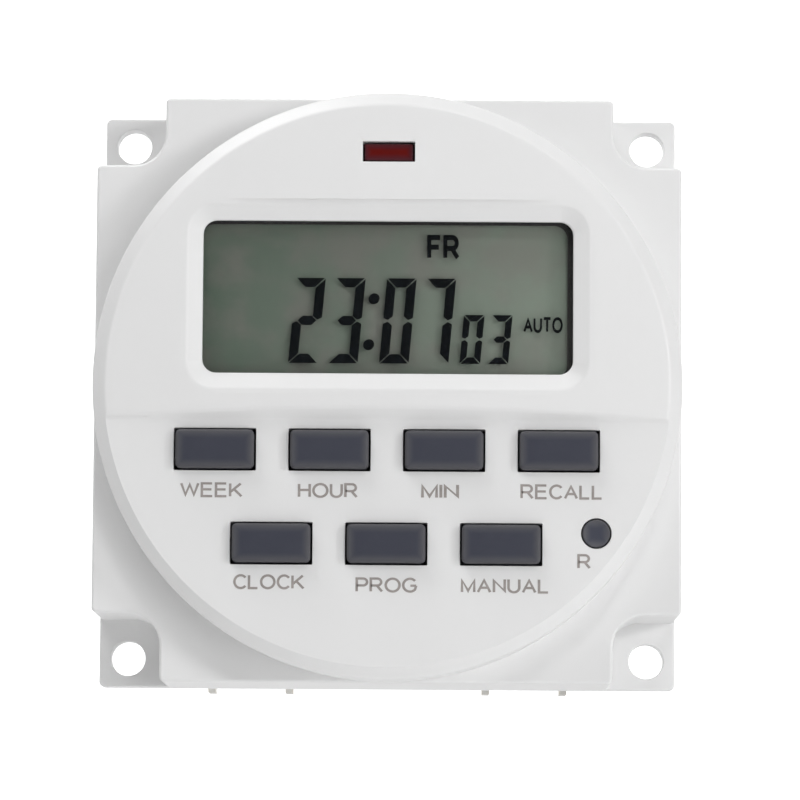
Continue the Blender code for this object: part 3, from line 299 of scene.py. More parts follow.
def reflector(name):
    """The grey-green back of the liquid crystal cell, darker towards the left."""
    made, tree, shader = new_material(name)
    coords = add(tree, "TexCoord").outputs["Object"]
    place = add(tree, "SeparateXYZ", {0: coords})
    across = ranged(tree, place.outputs["X"], -WINDOW_X, WINDOW_X, 0.0, 1.0)
    ramp = add(tree, "ValToRGB", {"Fac": across})
    ramp.color_ramp.elements[0].color = (0.122, 0.172, 0.128, 1.0)
    ramp.color_ramp.elements[1].color = (0.318, 0.385, 0.312, 1.0)
    halfway = ramp.color_ramp.elements.new(0.5)
    halfway.color = (0.205, 0.248, 0.200, 1.0)
    pink = mixed(tree, 0.42, ramp.outputs["Color"], (0.270, 0.235, 0.222, 1.0))
    patch = ranged(tree, noise(tree, coords, 4 * MM, 2.0), 0.36, 0.72, 0.0, 1.0, True)
    warm = mixed(tree, patch, ramp.outputs["Color"], pink)
    speck = noise(tree, coords, 0.08 * MM, 1.0)
    tree.links.new(warm, shader.inputs["Base Color"])
    tree.links.new(ranged(tree, speck, 0.3, 0.7, 0.5, 0.65), shader.inputs["Roughness"])
    roughen(tree, shader, speck, 0.002 * MM)
    return made


def red_lens(name, half_x, half_z):
    """Unlit red plastic: deep red inside and nearly black where the light can't reach."""
    made, tree, shader = new_material(name)
    place = add(tree, "TexCoord").outputs["Object"]
    inward = edge_distance(tree, half_x, half_z)
    slow = noise(tree, place, 1.5 * MM, 2.0)
    core = mixed(tree, slow, (0.150, 0.009, 0.007, 1.0), (0.098, 0.008, 0.007, 1.0))
    # Painted shade: the lens goes nearly black within 0.8 mm of its edges.
    painted_edge_shading = ranged(tree, inward, 0.1 * MM, 0.8 * MM, 1.0, 0.0, True)
    tree.links.new(mixed(tree, painted_edge_shading, core, (0.085, 0.018, 0.024, 1.0)), shader.inputs["Base Color"])
    shader.inputs["Specular IOR Level"].default_value = 0.25
    tree.links.new(ranged(tree, slow, 0.3, 0.7, 0.15, 0.25), shader.inputs["Roughness"])
    roughen(tree, shader, noise(tree, place, 0.4 * MM, 2.0), 0.004 * MM)
    return made


def solder_mask(name):
    """Green lacquer over copper tracks, which show as slightly paler bands."""
    made, tree, shader = new_material(name)
    place = add(tree, "TexCoord").outputs["Object"]
    bend = noise(tree, place, 6 * MM, 1.0)
    wave = add(
        tree,
        "TexWave",
        {"Vector": place, "Scale": 55.0, "Distortion": 9.0, "Detail": 0.0, "Detail Scale": 0.4},
        bands_direction="Z",
    )
    track = ranged(tree, wave.outputs["Fac"], 0.55, 0.62, 0.0, 1.0)
    dark = mixed(tree, bend, (0.010, 0.085, 0.035, 1.0), (0.013, 0.105, 0.045, 1.0))
    pale = mixed(tree, bend, (0.025, 0.17, 0.075, 1.0), (0.030, 0.19, 0.085, 1.0))
    tree.links.new(mixed(tree, track, dark, pale), shader.inputs["Base Color"])
    tree.links.new(ranged(tree, bend, 0.3, 0.7, 0.28, 0.4), shader.inputs["Roughness"])
    roughen(tree, shader, track, 0.03 * MM, 0.7)
    return made


MATERIALS = {
    "grey_case": surface(
        "grey_case",
        (0.80, 0.80, 0.80),
        0.42,
        mottle=0.006,
        patch=14 * MM,
        wear=0.25,
        wear_colour=(0.86, 0.86, 0.86),
    ),
    "dark_silicone": surface("dark_silicone", (0.05, 0.054, 0.07), 0.62, mottle=0.08),
    "clear_plastic": clear_pane("clear_plastic", (0.05, 0.055, 0.052), 0.05),
    "red_plastic": surface("red_plastic", (0.25, 0.012, 0.01), 0.2, mottle=0.1, coat=0.3),
    "display_glass": clear_pane("display_glass", (0.03, 0.034, 0.03), 0.05),
    "lcd_reflector": reflector("lcd_reflector"),
    "lcd_ink": surface(
        "lcd_ink", (0.0022, 0.0032, 0.0048), 0.45, mottle=0.2, patch=1.5 * MM, specular=0.05
    ),
    "legend_ink": surface("legend_ink", (0.33, 0.30, 0.285), 0.6, mottle=0.12, patch=0.7 * MM),
    "dark_frame": surface(
        "dark_frame", (0.03, 0.028, 0.027), 0.5, mottle=0.1, wear=0.2, wear_colour=(0.1, 0.1, 0.1)
    ),
    "carbon": surface(
        "carbon", (0.012, 0.012, 0.012), 0.8, mottle=0.2, patch=0.6 * MM, depth=0.006 * MM
    ),
    "board_green": solder_mask("board_green"),
    "chip_black": surface(
        "chip_black", (0.018, 0.018, 0.019), 0.55, mottle=0.15, patch=2 * MM, depth=0.004 * MM
    ),
    "bright_metal": surface(
        "bright_metal",
        (0.72, 0.72, 0.70),
        0.3,
        metallic=1.0,
        mottle=0.06,
        patch=1.5 * MM,
        depth=0.002 * MM,
        wear=0.5,
        wear_colour=(0.85, 0.85, 0.83),
    ),
    "yellow_film": surface("yellow_film", (0.62, 0.40, 0.04), 0.32, mottle=0.06, coat=0.2),
    "relay_blue": surface(
        "relay_blue", (0.02, 0.075, 0.28), 0.3, mottle=0.06, wear=0.2, wear_colour=(0.1, 0.2, 0.5)
    ),
    "sleeve_black": surface("sleeve_black", (0.018, 0.018, 0.026), 0.3, mottle=0.1, coat=0.2),
    "ceramic_blue": surface(
        "ceramic_blue", (0.03, 0.09, 0.38), 0.4, mottle=0.1, patch=1.5 * MM, depth=0.01 * MM
    ),
    "resistor_green": surface("resistor_green", (0.09, 0.18, 0.07), 0.5, mottle=0.1, depth=0.006 * MM),
    "battery_green": surface("battery_green", (0.03, 0.27, 0.09), 0.35, mottle=0.05, coat=0.3),
    "tinned_brass": surface(
        "tinned_brass",
        (0.60, 0.59, 0.56),
        0.38,
        metallic=1.0,
        mottle=0.1,
        patch=1.2 * MM,
        depth=0.003 * MM,
        wear=0.5,
        wear_colour=(0.78, 0.58, 0.28),
    ),
    "latch_grey": surface(
        "latch_grey",
        (0.11, 0.11, 0.115),
        0.5,
        mottle=0.05,
        depth=0.003 * MM,
        wear=0.35,
        wear_colour=(0.22, 0.22, 0.22),
    ),
}


# ---------------------------------------------------------------- shapes


def object_of(name, bm):
    """A mesh object in the scene with the closed shape in this bmesh."""
    bmesh.ops.recalc_face_normals(bm, faces=bm.faces)
    mesh = bpy.data.meshes.new(name)
    bm.to_mesh(mesh)
    bm.free()
    obj = bpy.data.objects.new(name, mesh)
    bpy.context.scene.collection.objects.link(obj)
    return obj


def rounded(corners, radii, steps=8):
    """The outline through these corners, each replaced by an arc. It takes inward corners too."""
    points = []
    count = len(corners)
    for i in range(count):
        corner = Vector(corners[i])
        radius = radii[i]
        back = (Vector(corners[i - 1]) - corner).normalized()
        on = (Vector(corners[(i + 1) % count]) - corner).normalized()
        if radius <= 0:
            points.append(tuple(corner))
            continue
        half_angle = back.angle(on) / 2
        centre = corner + (back + on).normalized() * (radius / sin(half_angle))
        first = corner + back * (radius * cos(half_angle) / sin(half_angle)) - centre
        last = corner + on * (radius * cos(half_angle) / sin(half_angle)) - centre
        for k in range(steps + 1):
            share = k / steps
            sweep = first.angle(last)
            ray = (sin((1 - share) * sweep) * first + sin(share * sweep) * last) / sin(sweep)
            points.append(tuple(centre + ray))
    return points


def rectangle(x, z, radius=0.0, steps=8):
    corners = [(x[0], z[0]), (x[1], z[0]), (x[1], z[1]), (x[0], z[1])]
    return rounded(corners, [radius] * 4, steps)


def circle(radius, sides=48):
    return [(radius * cos(2 * pi * k / sides), radius * sin(2 * pi * k / sides)) for k in range(sides)]


def notched_square(half, notch, corner, fillet):
    """A square with a square notch at each corner, as a plus with short arms."""
    inner = half - notch
    quarter = [((half, -inner), corner), ((half, inner), corner), ((inner, inner), fillet)]
    corners = []
    for turn in range(4):
        c, s = round(cos(turn * pi / 2)), round(sin(turn * pi / 2))
        corners += [((c * u - s * v, s * u + c * v), radius) for (u, v), radius in quarter]
    return rounded([point for point, _ in corners], [radius for _, radius in corners])


def at(outline, y):
    """The outline in the plane of this y."""
    return [(u, y, v) for u, v in outline]


def loft(name, sections):
    """A solid through outlines with equally many points, each a list of (x, y, z)."""
    bm = bmesh.new()
    rings = [[bm.verts.new(point) for point in section] for section in sections]
    for ring, following in zip(rings, rings[1:]):
        for i in range(len(ring)):
            j = (i + 1) % len(ring)
            bm.faces.new((ring[i], ring[j], following[j], following[i]))
    bm.faces.new(rings[0])
    bm.faces.new(rings[-1])
    return object_of(name, bm)


def slab(name, outline, y0, y1):
    return loft(name, [at(outline, y0), at(outline, y1)])


def post(name, radius, x, z, y0, y1, sides=48):
    return slab(name, [(x + u, z + v) for u, v in circle(radius, sides)], y0, y1)


def turned(name, profile, steps=256):
    """A profile of (radius, y) from axis to axis, spun about the Y axis."""
    angles = [2 * pi * k / steps for k in range(steps)]
    bm = bmesh.new()
    rings = []
    for radius, y in profile:
        if radius < 1e-9:
            rings.append([bm.verts.new((0, y, 0))])
        else:
            rings.append([bm.verts.new((radius * cos(a), y, radius * sin(a))) for a in angles])
    for ring, following in zip(rings, rings[1:]):
        for i in range(steps):
            j = i + 1
            corners = [ring[i % len(ring)], ring[j % len(ring)]]
            corners += [following[j % len(following)], following[i % len(following)]]
            bm.faces.new(list(dict.fromkeys(corners)))
    return object_of(name, bm)


def carve(body, *steps):
    """Applies each (operation, tool) in turn and leaves a plain mesh. The tools are used up."""
    for operation, tool in steps:
        modifier = body.modifiers.new(tool.name, "BOOLEAN")
        modifier.operation = operation
        modifier.object = tool
        modifier.solver = "MANIFOLD"
    graph = bpy.context.evaluated_depsgraph_get()
    mesh = bpy.data.meshes.new_from_object(body.evaluated_get(graph))
    body.modifiers.clear()
    body.data = mesh
    for _, tool in steps:
        bpy.data.objects.remove(tool)
    return body


def smooth_shading(obj):
    """Smooth faces with hard edges kept, and flat ground kept flat beside rounded edges."""
    obj.data.shade_smooth()
    obj.data.set_sharp_from_angle(angle=radians(32))
    weighted = obj.modifiers.new("shading", "WEIGHTED_NORMAL")
    weighted.keep_sharp = True
    return obj


def finished(obj, body, look, slot, *nodes):
    """Gives a finished piece its material and its body, and hides the nodes that it stands for. The
    slot is not used.
    """
    obj.data.materials.clear()
    obj.data.materials.append(look)
    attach(obj, body)
    if nodes:
        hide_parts(*nodes)
    return obj


# ---------------------------------------------------------------- front housing


def dome_y(radius):
    """The dome's surface at this distance from its middle."""
    return PLATEAU_Y - DOME_HEIGHT * (1 - (radius / PLATEAU_RADIUS) ** 2)


def soft_front(outline_at, y_front, y_back, radius, steps=5):
    """Sections of a block whose front edge is a quarter round. outline_at takes the inset."""
    sections = []
    for k in range(steps + 1):
        angle = k / steps * pi / 2
        y = y_front + radius * (1 - cos(angle))
        sections.append(at(outline_at(radius * (1 - sin(angle))), y))
    return sections + [at(outline_at(0), y_back)]


def body_block():
    """The square body without its corners, with a soft edge round its front."""

    def outline(inset):
        return notched_square(HALF - inset, CORNER_NOTCH, CORNER_RADIUS - inset, NOTCH_FILLET + inset)

    return loft("front_shell", soft_front(outline, BASE_FRONT, RIM_Y + GAP, SOFT_EDGE))


def ear_plate():
    """One plate whose four corners become the ears."""

    def outline(inset):
        side = HALF - 0.01 * MM - inset  # a hair inside the body, so that the two join cleanly
        return rectangle((-side, side), (-side, side), EAR_CORNER - inset)

    edge = 0.2 * MM
    sections = soft_front(outline, EAR_BACK - EAR_THICKNESS, EAR_BACK - edge, edge)
    mirror = 2 * EAR_BACK - EAR_THICKNESS
    back = [[(x, mirror - y, z) for x, y, z in section] for section in sections[:-1]]
    return loft("ear_plate", sections + back[::-1])


def bezel():
    """The round face: a shallow dome, a chamfered rim with soft edges, and a straight side."""
    rings = 28
    dome = [PLATEAU_RADIUS * k / rings for k in range(rings + 1)]
    corners = [(radius, dome_y(radius)) for radius in dome]
    radii = [0] * rings + [RIM_TOP_RADIUS]
    back = BASE_FRONT + WALL / 2
    corners += [(BEZEL_RADIUS, PLATEAU_Y + RIM_CHAMFER_DEPTH), (BEZEL_RADIUS, back), (0, back)]
    radii += [RIM_SIDE_RADIUS, 0, 0]
    return turned("bezel", rounded(corners, radii, 6))


def round_over(reach, tilt, radius, steps=5):
    """(distance, depth) along a rounding from a slope up to level ground, which it meets at reach."""
    end = reach + radius * tan(tilt / 2)
    least = radians(5)
    angles = [tilt + (least - tilt) * k / steps for k in range(steps + 1)]
    points = [(end - radius * sin(angle), radius * (1 - cos(angle))) for angle in angles]
    return points + [(end + 0.3 * MM, -0.025 * MM)]


def key_face_cutter():
    """Takes the dome down to the flat face round the keys, below a sloping step with soft edges."""
    slope = STEP_RUN / KEY_FACE_DROP
    reach = 4 * MM
    ahead = KEY_FACE_Y - reach
    foot_corners = [(KEY_FACE_Y, -2 * HALF), (KEY_FACE_Y, STEP_Z), (ahead, STEP_Z + reach * slope)]
    foot = rounded(foot_corners, (0, STEP_FOOT_RADIUS, 0))
    sections = []
    stations = 60
    for k in range(stations + 1):
        x = HALF * 1.05 * (2 * k / stations - 1)
        crossing = STEP_Z
        for _ in range(10):
            crossing = STEP_Z + (KEY_FACE_Y - dome_y(hypot(x, crossing))) * slope
        edge = round_over(crossing, STEP_TILT, STEP_EDGE_RADIUS)
        top = [(dome_y(hypot(x, z)) + depth, z) for z, depth in edge]
        outline = foot[:-1] + top + [(ahead, top[-1][1]), (ahead, -2 * HALF)]
        sections.append([(x, y, z) for y, z in outline])
    return loft("key_face", sections)


def window_outline(grow=0.0, radius=WINDOW_CORNER):
    """The display opening, grown on every side."""
    x = WINDOW_X + grow
    return rectangle((-x, x), (WINDOW_BOTTOM - grow, WINDOW_TOP + grow), radius, 12)


def window_cutter():
    """The clear opening, its straight land, and the bevel that rolls over onto the dome."""
    foot = FRONT_Y + BEVEL_DEPTH
    sections = [at(window_outline(), INNER_FACE + WALL), at(window_outline(), foot + 0.12 * MM)]
    for grow, rise in ((0.04 * MM, 0.04 * MM), (0.12 * MM, -0.02 * MM)):
        sections.append(at(window_outline(grow), foot + rise))
    tilt = atan2(BEVEL_DEPTH, WINDOW_BEVEL)
    for grow, depth in round_over(WINDOW_BEVEL, tilt, BEVEL_EDGE_RADIUS):
        outline = window_outline(grow, WINDOW_CORNER + grow * 0.9)
        sections.append([(x, dome_y(hypot(x, z)) + depth, z) for x, z in outline])
    sections.append(at(outline, FRONT_Y - WALL))
    return loft("window_opening", sections)


def level_face(x, z):
    return KEY_FACE_Y


def dome_face(x, z):
    return dome_y(hypot(x, z))


def soft_hole(name, outline_at, face):
    """A hole through the face with a small round at its mouth. outline_at takes a growth."""
    flare = 0.07 * MM
    sections = []
    for grow, depth in ((flare, -WALL), (flare, 0), (flare * 0.3, flare * 0.3), (0, flare)):
        sections.append([(x, face(x, z) + depth, z) for x, z in outline_at(grow)])
    return loft(name, sections + [at(outline_at(0), INNER_FACE + WALL)])


def box_outline(low, high, grow, radius):
    """The outline of a node's box seen from the front, grown on every side."""
    return rectangle((low.x - grow, high.x + grow), (low.z - grow, high.z + grow), radius, 3)


def key_hole(name):
    low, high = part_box(f"key_{name}")

    def outline(grow):
        side = grow + KEY_SIDE_GAP - KEY_LIP
        return box_outline(low, high, side, HOLE_CORNER + grow)

    return soft_hole(f"hole_{name}", outline, level_face)


def reset_hole():
    low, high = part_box("key_reset")
    centre = middle("key_reset")
    radius = (high.x - low.x) / 2 - RESET_LIP + RESET_SIDE_GAP

    def outline(grow):
        return [(centre.x + u, centre.z + v) for u, v in circle(radius + grow)]

    return soft_hole("hole_reset", outline, level_face)


def indicator_hole():
    low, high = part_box("indicator_window")

    def outline(grow):
        side = grow + LENS_GAP / 2 - LENS_LAP
        return box_outline(low, high, side, HOLE_CORNER + grow)

    return soft_hole("hole_indicator", outline, dome_face)


def middle(node):
    """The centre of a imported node's box."""
    low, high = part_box(node)
    return (low + high) / 2


def round_post(name, node, radius, y0, y1):
    """A post or a cutter on a screw's axis."""
    centre = middle(node)
    return post(name, radius, centre.x, centre.z, y0, y1)


def front_cutters():
    """Every opening through the face, and the steps behind the display opening."""
    lens_step = FRONT_Y + BEVEL_DEPTH + WINDOW_LAND
    lens = window_outline(LENS_LAP + LENS_GAP)
    glass = window_outline(LENS_LAP + GLASS_LAP + GAP, 0.1 * MM)
    tools = [
        window_cutter(),
        slab("lens_recess", lens, lens_step, INNER_FACE + WALL),
        slab("glass_recess", glass, GLASS_LOW.y - LENS_GAP, INNER_FACE + WALL),
        reset_hole(),
        indicator_hole(),
    ]
    return tools + [key_hole(name) for name in KEY_NAMES]


def ear_holes():
    """Through holes with a small soft edge at both faces."""
    place = HALF - EAR_HOLE_INSET
    front = EAR_BACK - EAR_THICKNESS
    flare = 0.15 * MM
    holes = []
    rings = [(flare, front - WALL), (flare, front), (flare / 3, front + flare / 3)]
    rings += [(0, front + flare), (0, EAR_BACK - flare)]
    rings += [(flare / 3, EAR_BACK - flare / 3), (flare, EAR_BACK), (flare, EAR_BACK + WALL)]
    for i, (u, v) in enumerate([(1, 1), (-1, 1), (-1, -1), (1, -1)]):
        sections = []
        for grow, y in rings:
            ring = circle(EAR_HOLE_RADIUS + grow)
            sections.append([(u * place + x, y, v * place + z) for x, z in ring])
        holes.append(loft(f"ear_hole_{i + 1}", sections))
    return holes


def bosses():
    """Steps that add the screw posts inside the housing and bore them."""
    steps = []
    for i in range(4):
        node = f"case_screw_{i + 1}"
        ends = (BASE_FRONT + WALL / 2, RIM_Y)
        steps.append(("UNION", round_post(f"boss_{i}", node, CASE_BOSS_RADIUS, *ends)))
        bore = (RIM_Y - CASE_PILOT_DEPTH, RIM_Y + WALL)
        steps.append(("DIFFERENCE", round_post(f"bore_{i}", node, CASE_PILOT_RADIUS, *bore)))
    for i in range(3):
        node = f"board_screw_{i + 1}"
        ends = (INNER_FACE - WALL / 4, BOARD_FRONT - GAP)
        steps.append(("UNION", round_post(f"post_{i}", node, BOARD_BOSS_RADIUS, *ends)))
        bore = (INNER_FACE + GAP, BOARD_FRONT + WALL)
        steps.append(("DIFFERENCE", round_post(f"pilot_{i}", node, BOARD_PILOT_RADIUS, *bore)))
    return steps


def front_housing():
    """Body, ears and bezel in one moulding, hollow behind, with every opening cut."""
    cavity = notched_square(HALF - WALL, CORNER_NOTCH, CORNER_RADIUS, NOTCH_FILLET + WALL)
    recess = notched_square(HALF + WALL, CORNER_NOTCH + WALL, 0, NOTCH_FILLET)
    bore_radius = BEZEL_RADIUS - BEZEL_WALL
    shell = carve(
        body_block(),
        ("UNION", ear_plate()),
        ("DIFFERENCE", slab("rim_recess", recess, RIM_Y, EAR_BACK + WALL)),
        ("UNION", bezel()),
        ("DIFFERENCE", key_face_cutter()),
        ("DIFFERENCE", slab("cavity", cavity, BASE_FRONT + WALL, RIM_Y + WALL)),
        ("DIFFERENCE", post("bore", bore_radius, 0, 0, INNER_FACE, BASE_FRONT + 2 * WALL, 192)),
        *bosses(),
        *[("DIFFERENCE", tool) for tool in front_cutters() + ear_holes()],
    )
    smooth_shading(shell)
    finished(shell, "case", MATERIALS["grey_case"], "grey_case", "front_housing")


# ---------------------------------------------------------------- keys


def cap_sections(outline, front, soften, crown):
    """A crowned top and its soft edge. outline takes a share of the flat top and an inset."""
    sections = []
    for share in (0.15, 0.4, 0.62, 0.8, 0.92):
        sections.append(at(outline(share, soften), front + crown * share**2))
    for k in range(7):
        angle = k / 6 * pi / 2
        inset = soften * (1 - sin(angle))
        sections.append(at(outline(1.0, inset), front + crown + (soften - crown) * (1 - cos(angle))))
    return sections


def key_cap(name):
    """A soft rectangular key with the lip that holds it in and the stem behind."""
    node = f"key_{name}"
    low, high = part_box(node)
    half_x = (high.x - low.x) / 2 - KEY_LIP
    half_z = (high.z - low.z) / 2 - KEY_LIP

    def outline(share, inset):
        x = (half_x - inset) * share
        z = (half_z - inset) * share
        return rectangle((-x, x), (-z, z), max(KEY_CORNER - inset, 0.15 * MM) * share, 6)

    lip_front = INNER_FACE + GAP
    sections = cap_sections(outline, low.y, 0.32 * MM, 0.07 * MM)
    sections += [at(outline(1, 0), lip_front), at(outline(1, -KEY_LIP), lip_front)]
    lip_back = lip_front + LIP_THICKNESS
    sections += [at(outline(1, -KEY_LIP), lip_back), at(outline(1, KEY_LIP), lip_back)]
    sections.append(at(outline(1, KEY_LIP), high.y))
    cap = loft(f"cap_{name}", sections)
    cap.location = (middle(node).x, 0, middle(node).z)
    look = bpy.data.materials.get("key_silicone") or silicone("key_silicone", half_x, half_z)
    finished(smooth_shading(cap), f"{node}_body", look, "dark_silicone", node)


def reset_cap():
    """Small round key, nearly flush, with a shallow dish for a pen."""
    low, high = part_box("key_reset")
    radius = (high.x - low.x) / 2 - RESET_LIP

    def ring(grow, y):
        return at(circle(radius + grow), y)

    lip_front = INNER_FACE + GAP
    dish = 0.12 * MM
    sections = []
    for share in (0.1, 0.3, 0.5, 0.7, 0.85):
        sections.append(at(circle(radius * share), low.y + dish * (1 - share**2)))
    soften = 0.15 * MM
    for k in range(6):
        angle = k / 5 * pi / 2
        sections.append(ring(-soften * (1 - sin(angle)), low.y + soften * (1 - cos(angle))))
    lip_back = lip_front + LIP_THICKNESS
    sections += [ring(0, lip_front), ring(RESET_LIP, lip_front), ring(RESET_LIP, lip_back)]
    sections += [ring(-RESET_STEM_INSET, lip_back), ring(-RESET_STEM_INSET, high.y)]
    cap = loft("cap_reset", sections)
    cap.location = (middle("key_reset").x, 0, middle("key_reset").z)
    look = silicone("reset_silicone", radius, radius, 1.2)
    finished(smooth_shading(cap), "key_reset_body", look, "dark_silicone", "key_reset")


# ---------------------------------------------------------------- display


def lcd_layers():
    """The front glass of the liquid crystal cell and the reflector behind it."""
    x = (GLASS_LOW.x, GLASS_HIGH.x)
    z = (GLASS_LOW.z, GLASS_HIGH.z)
    front, back = GLASS_LOW.y, GLASS_HIGH.y
    sheet = front + 0.45 * MM
    edge = 0.05 * MM
    outline = rectangle(x, z, 0.2 * MM, 3)
    pane = slab("lcd_front_glass", outline, front, sheet - edge)
    finished(ease(pane, edge), "case", MATERIALS["display_glass"], "display_glass")
    plate = slab("lcd_reflector", outline, sheet, back)
    finished(ease(plate, edge), "case", MATERIALS["lcd_reflector"], "display_glass", "lcd_glass")


def painted_wall_shadow():
    """Painted shadow of the opening's top and right walls: a thin dark border on the glass, set a
    little to the left and low of the opening.
    """
    x = (-WINDOW_X - 0.25 * MM, WINDOW_X - 0.55 * MM)
    z = (WINDOW_BOTTOM - 0.25 * MM, WINDOW_TOP - 0.22 * MM)
    front = GLASS_LOW.y
    # The dark border is painted shadow: it shows along the right and top of the display, where the
    # walls would shade it.
    shadow_strip = slab("painted_wall_shadow", window_outline(0.7 * MM), front - 0.06 * MM, front - 0.03 * MM)
    inner = rectangle(x, z, WINDOW_CORNER, 12)
    carve(shadow_strip, ("DIFFERENCE", slab("shadow_strip_opening", inner, front - MM, front + MM)))
    finished(smooth_shading(shadow_strip), "case", MATERIALS["dark_frame"], "dark_frame")


SEGMENTS = {"0": "abcdef", "2": "abged", "3": "abgcd", "7": "abc"}
SLANT = tan(radians(5))
INK = 0.025 * MM  # thickness of a printed or liquid crystal mark
INK_FRONT = GLASS_LOW.y - 0.03 * MM
LEGEND_HEIGHT = 1.52 * MM

# Width, height, bar width and the gap between bars
BIG_DIGIT = (3.0 * MM, 8.7 * MM, 0.94 * MM, 0.09 * MM)
SMALL_DIGIT = (2.1 * MM, 5.0 * MM, 0.66 * MM, 0.07 * MM)
DIGITS_BOTTOM = 2.21 * MM
COLON_RADIUS = 0.56 * MM


def segment_outlines(width, height, thick, gap):
    """The seven bars of an upright digit, as outlines from its lower left corner."""
    waist = height / 2
    upright = [
        (0, height - gap),
        (thick, height - thick - gap),
        (thick, waist + thick / 2),
        (thick / 2, waist + gap),
        (0, waist + thick / 3),
    ]
    top = [
        (gap, height),
        (width - gap, height),
        (width - thick - gap, height - thick),
        (thick + gap, height - thick),
    ]
    bar = [
        (thick / 2 + gap, waist),
        (thick + gap, waist + thick / 2),
        (width - thick - gap, waist + thick / 2),
        (width - thick / 2 - gap, waist),
        (width - thick - gap, waist - thick / 2),
        (thick + gap, waist - thick / 2),
    ]

    def across(points):
        return [(width - u, v) for u, v in points]

    def down(points):
        return [(u, height - v) for u, v in points]

    return {
        "a": top,
        "b": across(upright),
        "c": across(down(upright)),
        "d": down(top),
        "e": down(upright),
        "f": upright,
        "g": bar,
    }


def lcd_digits():
    """The time in slanted seven-bar digits, with small seconds, as thin dark plates."""
    big = [("2", -10.1 * MM), ("3", -6.05 * MM), ("0", -0.87 * MM), ("7", 3.15 * MM)]
    small = [("0", 7.28 * MM), ("3", 10.12 * MM)]
    outlines = []
    for digits, shape in ((big, BIG_DIGIT), (small, SMALL_DIGIT)):
        bars = segment_outlines(*shape)
        for digit, left in digits:
            outlines += [[(left + u, v) for u, v in bars[bar]] for bar in SEGMENTS[digit]]
    for x, z in ((-2.0 * MM, 6.6 * MM), (-2.1 * MM, 1.9 * MM)):
        outlines.append([(x + u, z + v) for u, v in circle(COLON_RADIUS, 24)])
    bm = bmesh.new()
    for outline in outlines:
        rings = []
        for y in (INK_FRONT, INK_FRONT + INK):
            rings.append([bm.verts.new((u + v * SLANT, y, DIGITS_BOTTOM + v)) for u, v in outline])
        for i in range(len(outline)):
            j = (i + 1) % len(outline)
            bm.faces.new((rings[0][i], rings[0][j], rings[1][j], rings[1][i]))
        for ring in rings:
            bm.faces.new(ring)
    finished(object_of("lcd_digits", bm), "case", MATERIALS["lcd_ink"], "carbon")


def arc(x, z, across, up, start, end, steps=14):
    """Points along part of an ellipse, from one angle in degrees to another."""
    angles = [radians(start + (end - start) * k / steps) for k in range(steps + 1)]
    return [(x + across * cos(angle), z + up * sin(angle)) for angle in angles]


BOWL = [(0, 1), (0.44, 1), *arc(0.45, 0.73, 0.27, 0.27, 90, -90), (0, 0.46)]
LETTERS = {
    "A": [[(0, 0), (0.42, 1), (0.84, 0)], [(0.13, 0.34), (0.71, 0.34)]],
    "C": [arc(0.45, 0.5, 0.45, 0.5, 40, 320, 28)],
    "E": [[(0.72, 1), (0, 1), (0, 0), (0.74, 0)], [(0, 0.53), (0.68, 0.53)]],
    "F": [[(0.68, 1), (0, 1), (0, 0)], [(0, 0.52), (0.6, 0.52)]],
    "G": [arc(0.47, 0.5, 0.47, 0.5, 42, 318, 28) + [(0.9, 0.46)], [(0.9, 0.46), (0.5, 0.46)]],
    "H": [[(0, 0), (0, 1)], [(0.74, 0), (0.74, 1)], [(0, 0.53), (0.74, 0.53)]],
    "I": [[(0, 0), (0, 1)]],
    "K": [[(0, 0), (0, 1)], [(0.74, 1), (0, 0.32)], [(0.27, 0.57), (0.8, 0)]],
    "L": [[(0, 1), (0, 0), (0.62, 0)]],
    "M": [[(0, 0), (0, 1), (0.42, 0.04), (0.84, 1), (0.84, 0)]],
    "N": [[(0, 0), (0, 1), (0.74, 0), (0.74, 1)]],
    "O": [arc(0.48, 0.5, 0.48, 0.5, 0, 360, 36)],
    "P": [[(0, 0), *BOWL]],
    "R": [[(0, 0), *BOWL], [(0.42, 0.46), (0.78, 0)]],
    "T": [[(0, 1), (0.76, 1)], [(0.38, 1), (0.38, 0)]],
    "U": [[(0, 1), *arc(0.37, 0.36, 0.37, 0.36, 180, 360), (0.74, 1)]],
    "W": [[(0, 1), (0.3, 0), (0.6, 1), (0.9, 0), (1.2, 1)]],
}


def stroke_sides(points, half):
    """The left and right sides of a stroke of even width through these points."""
    closed = (Vector(points[0]) - Vector(points[-1])).length < 1e-6
    sides = ([], [])
    for i, point in enumerate(points):
        before = points[i - 1] if i else points[-2] if closed else None
        after = points[i + 1] if i < len(points) - 1 else points[1] if closed else None
        ways = []
        if before:
            ways.append((Vector(point) - Vector(before)).normalized())
        if after:
            ways.append((Vector(after) - Vector(point)).normalized())
        normals = [Vector((-way.y, way.x)) for way in ways]
        normal = sum(normals, Vector((0, 0))).normalized()
        reach = half / max(0.3, normal.dot(normals[0]))
        for side, sign in zip(sides, (1, -1)):
            side.append(Vector(point) + sign * reach * normal)
    return sides


def stroke(name, points, half, place):
    """A thin plate along one pen stroke. place turns a point of the letter into x, z and depth."""
    left, right = stroke_sides(points, half)
    level = [[Vector((u.x, min(max(u.y, -half), 1 + half))) for u in side] for side in (left, right)]
    bm = bmesh.new()
    rows = [[bm.verts.new(place(u, back)) for u in side] for side in level for back in (0, 1)]
    front_left, back_left, front_right, back_right = rows
    around = (front_left, front_right, back_right, back_left)
    for i in range(len(points) - 1):
        for one, other in zip(around, around[1:] + around[:1]):
            bm.faces.new((one[i], one[i + 1], other[i + 1], other[i]))
    if (left[0] - left[-1]).length < 1e-6:
        bmesh.ops.remove_doubles(bm, verts=bm.verts, dist=1e-9)
    else:
        for i in (0, -1):
            bm.faces.new([row[i] for row in around])
    return object_of(name, bm)


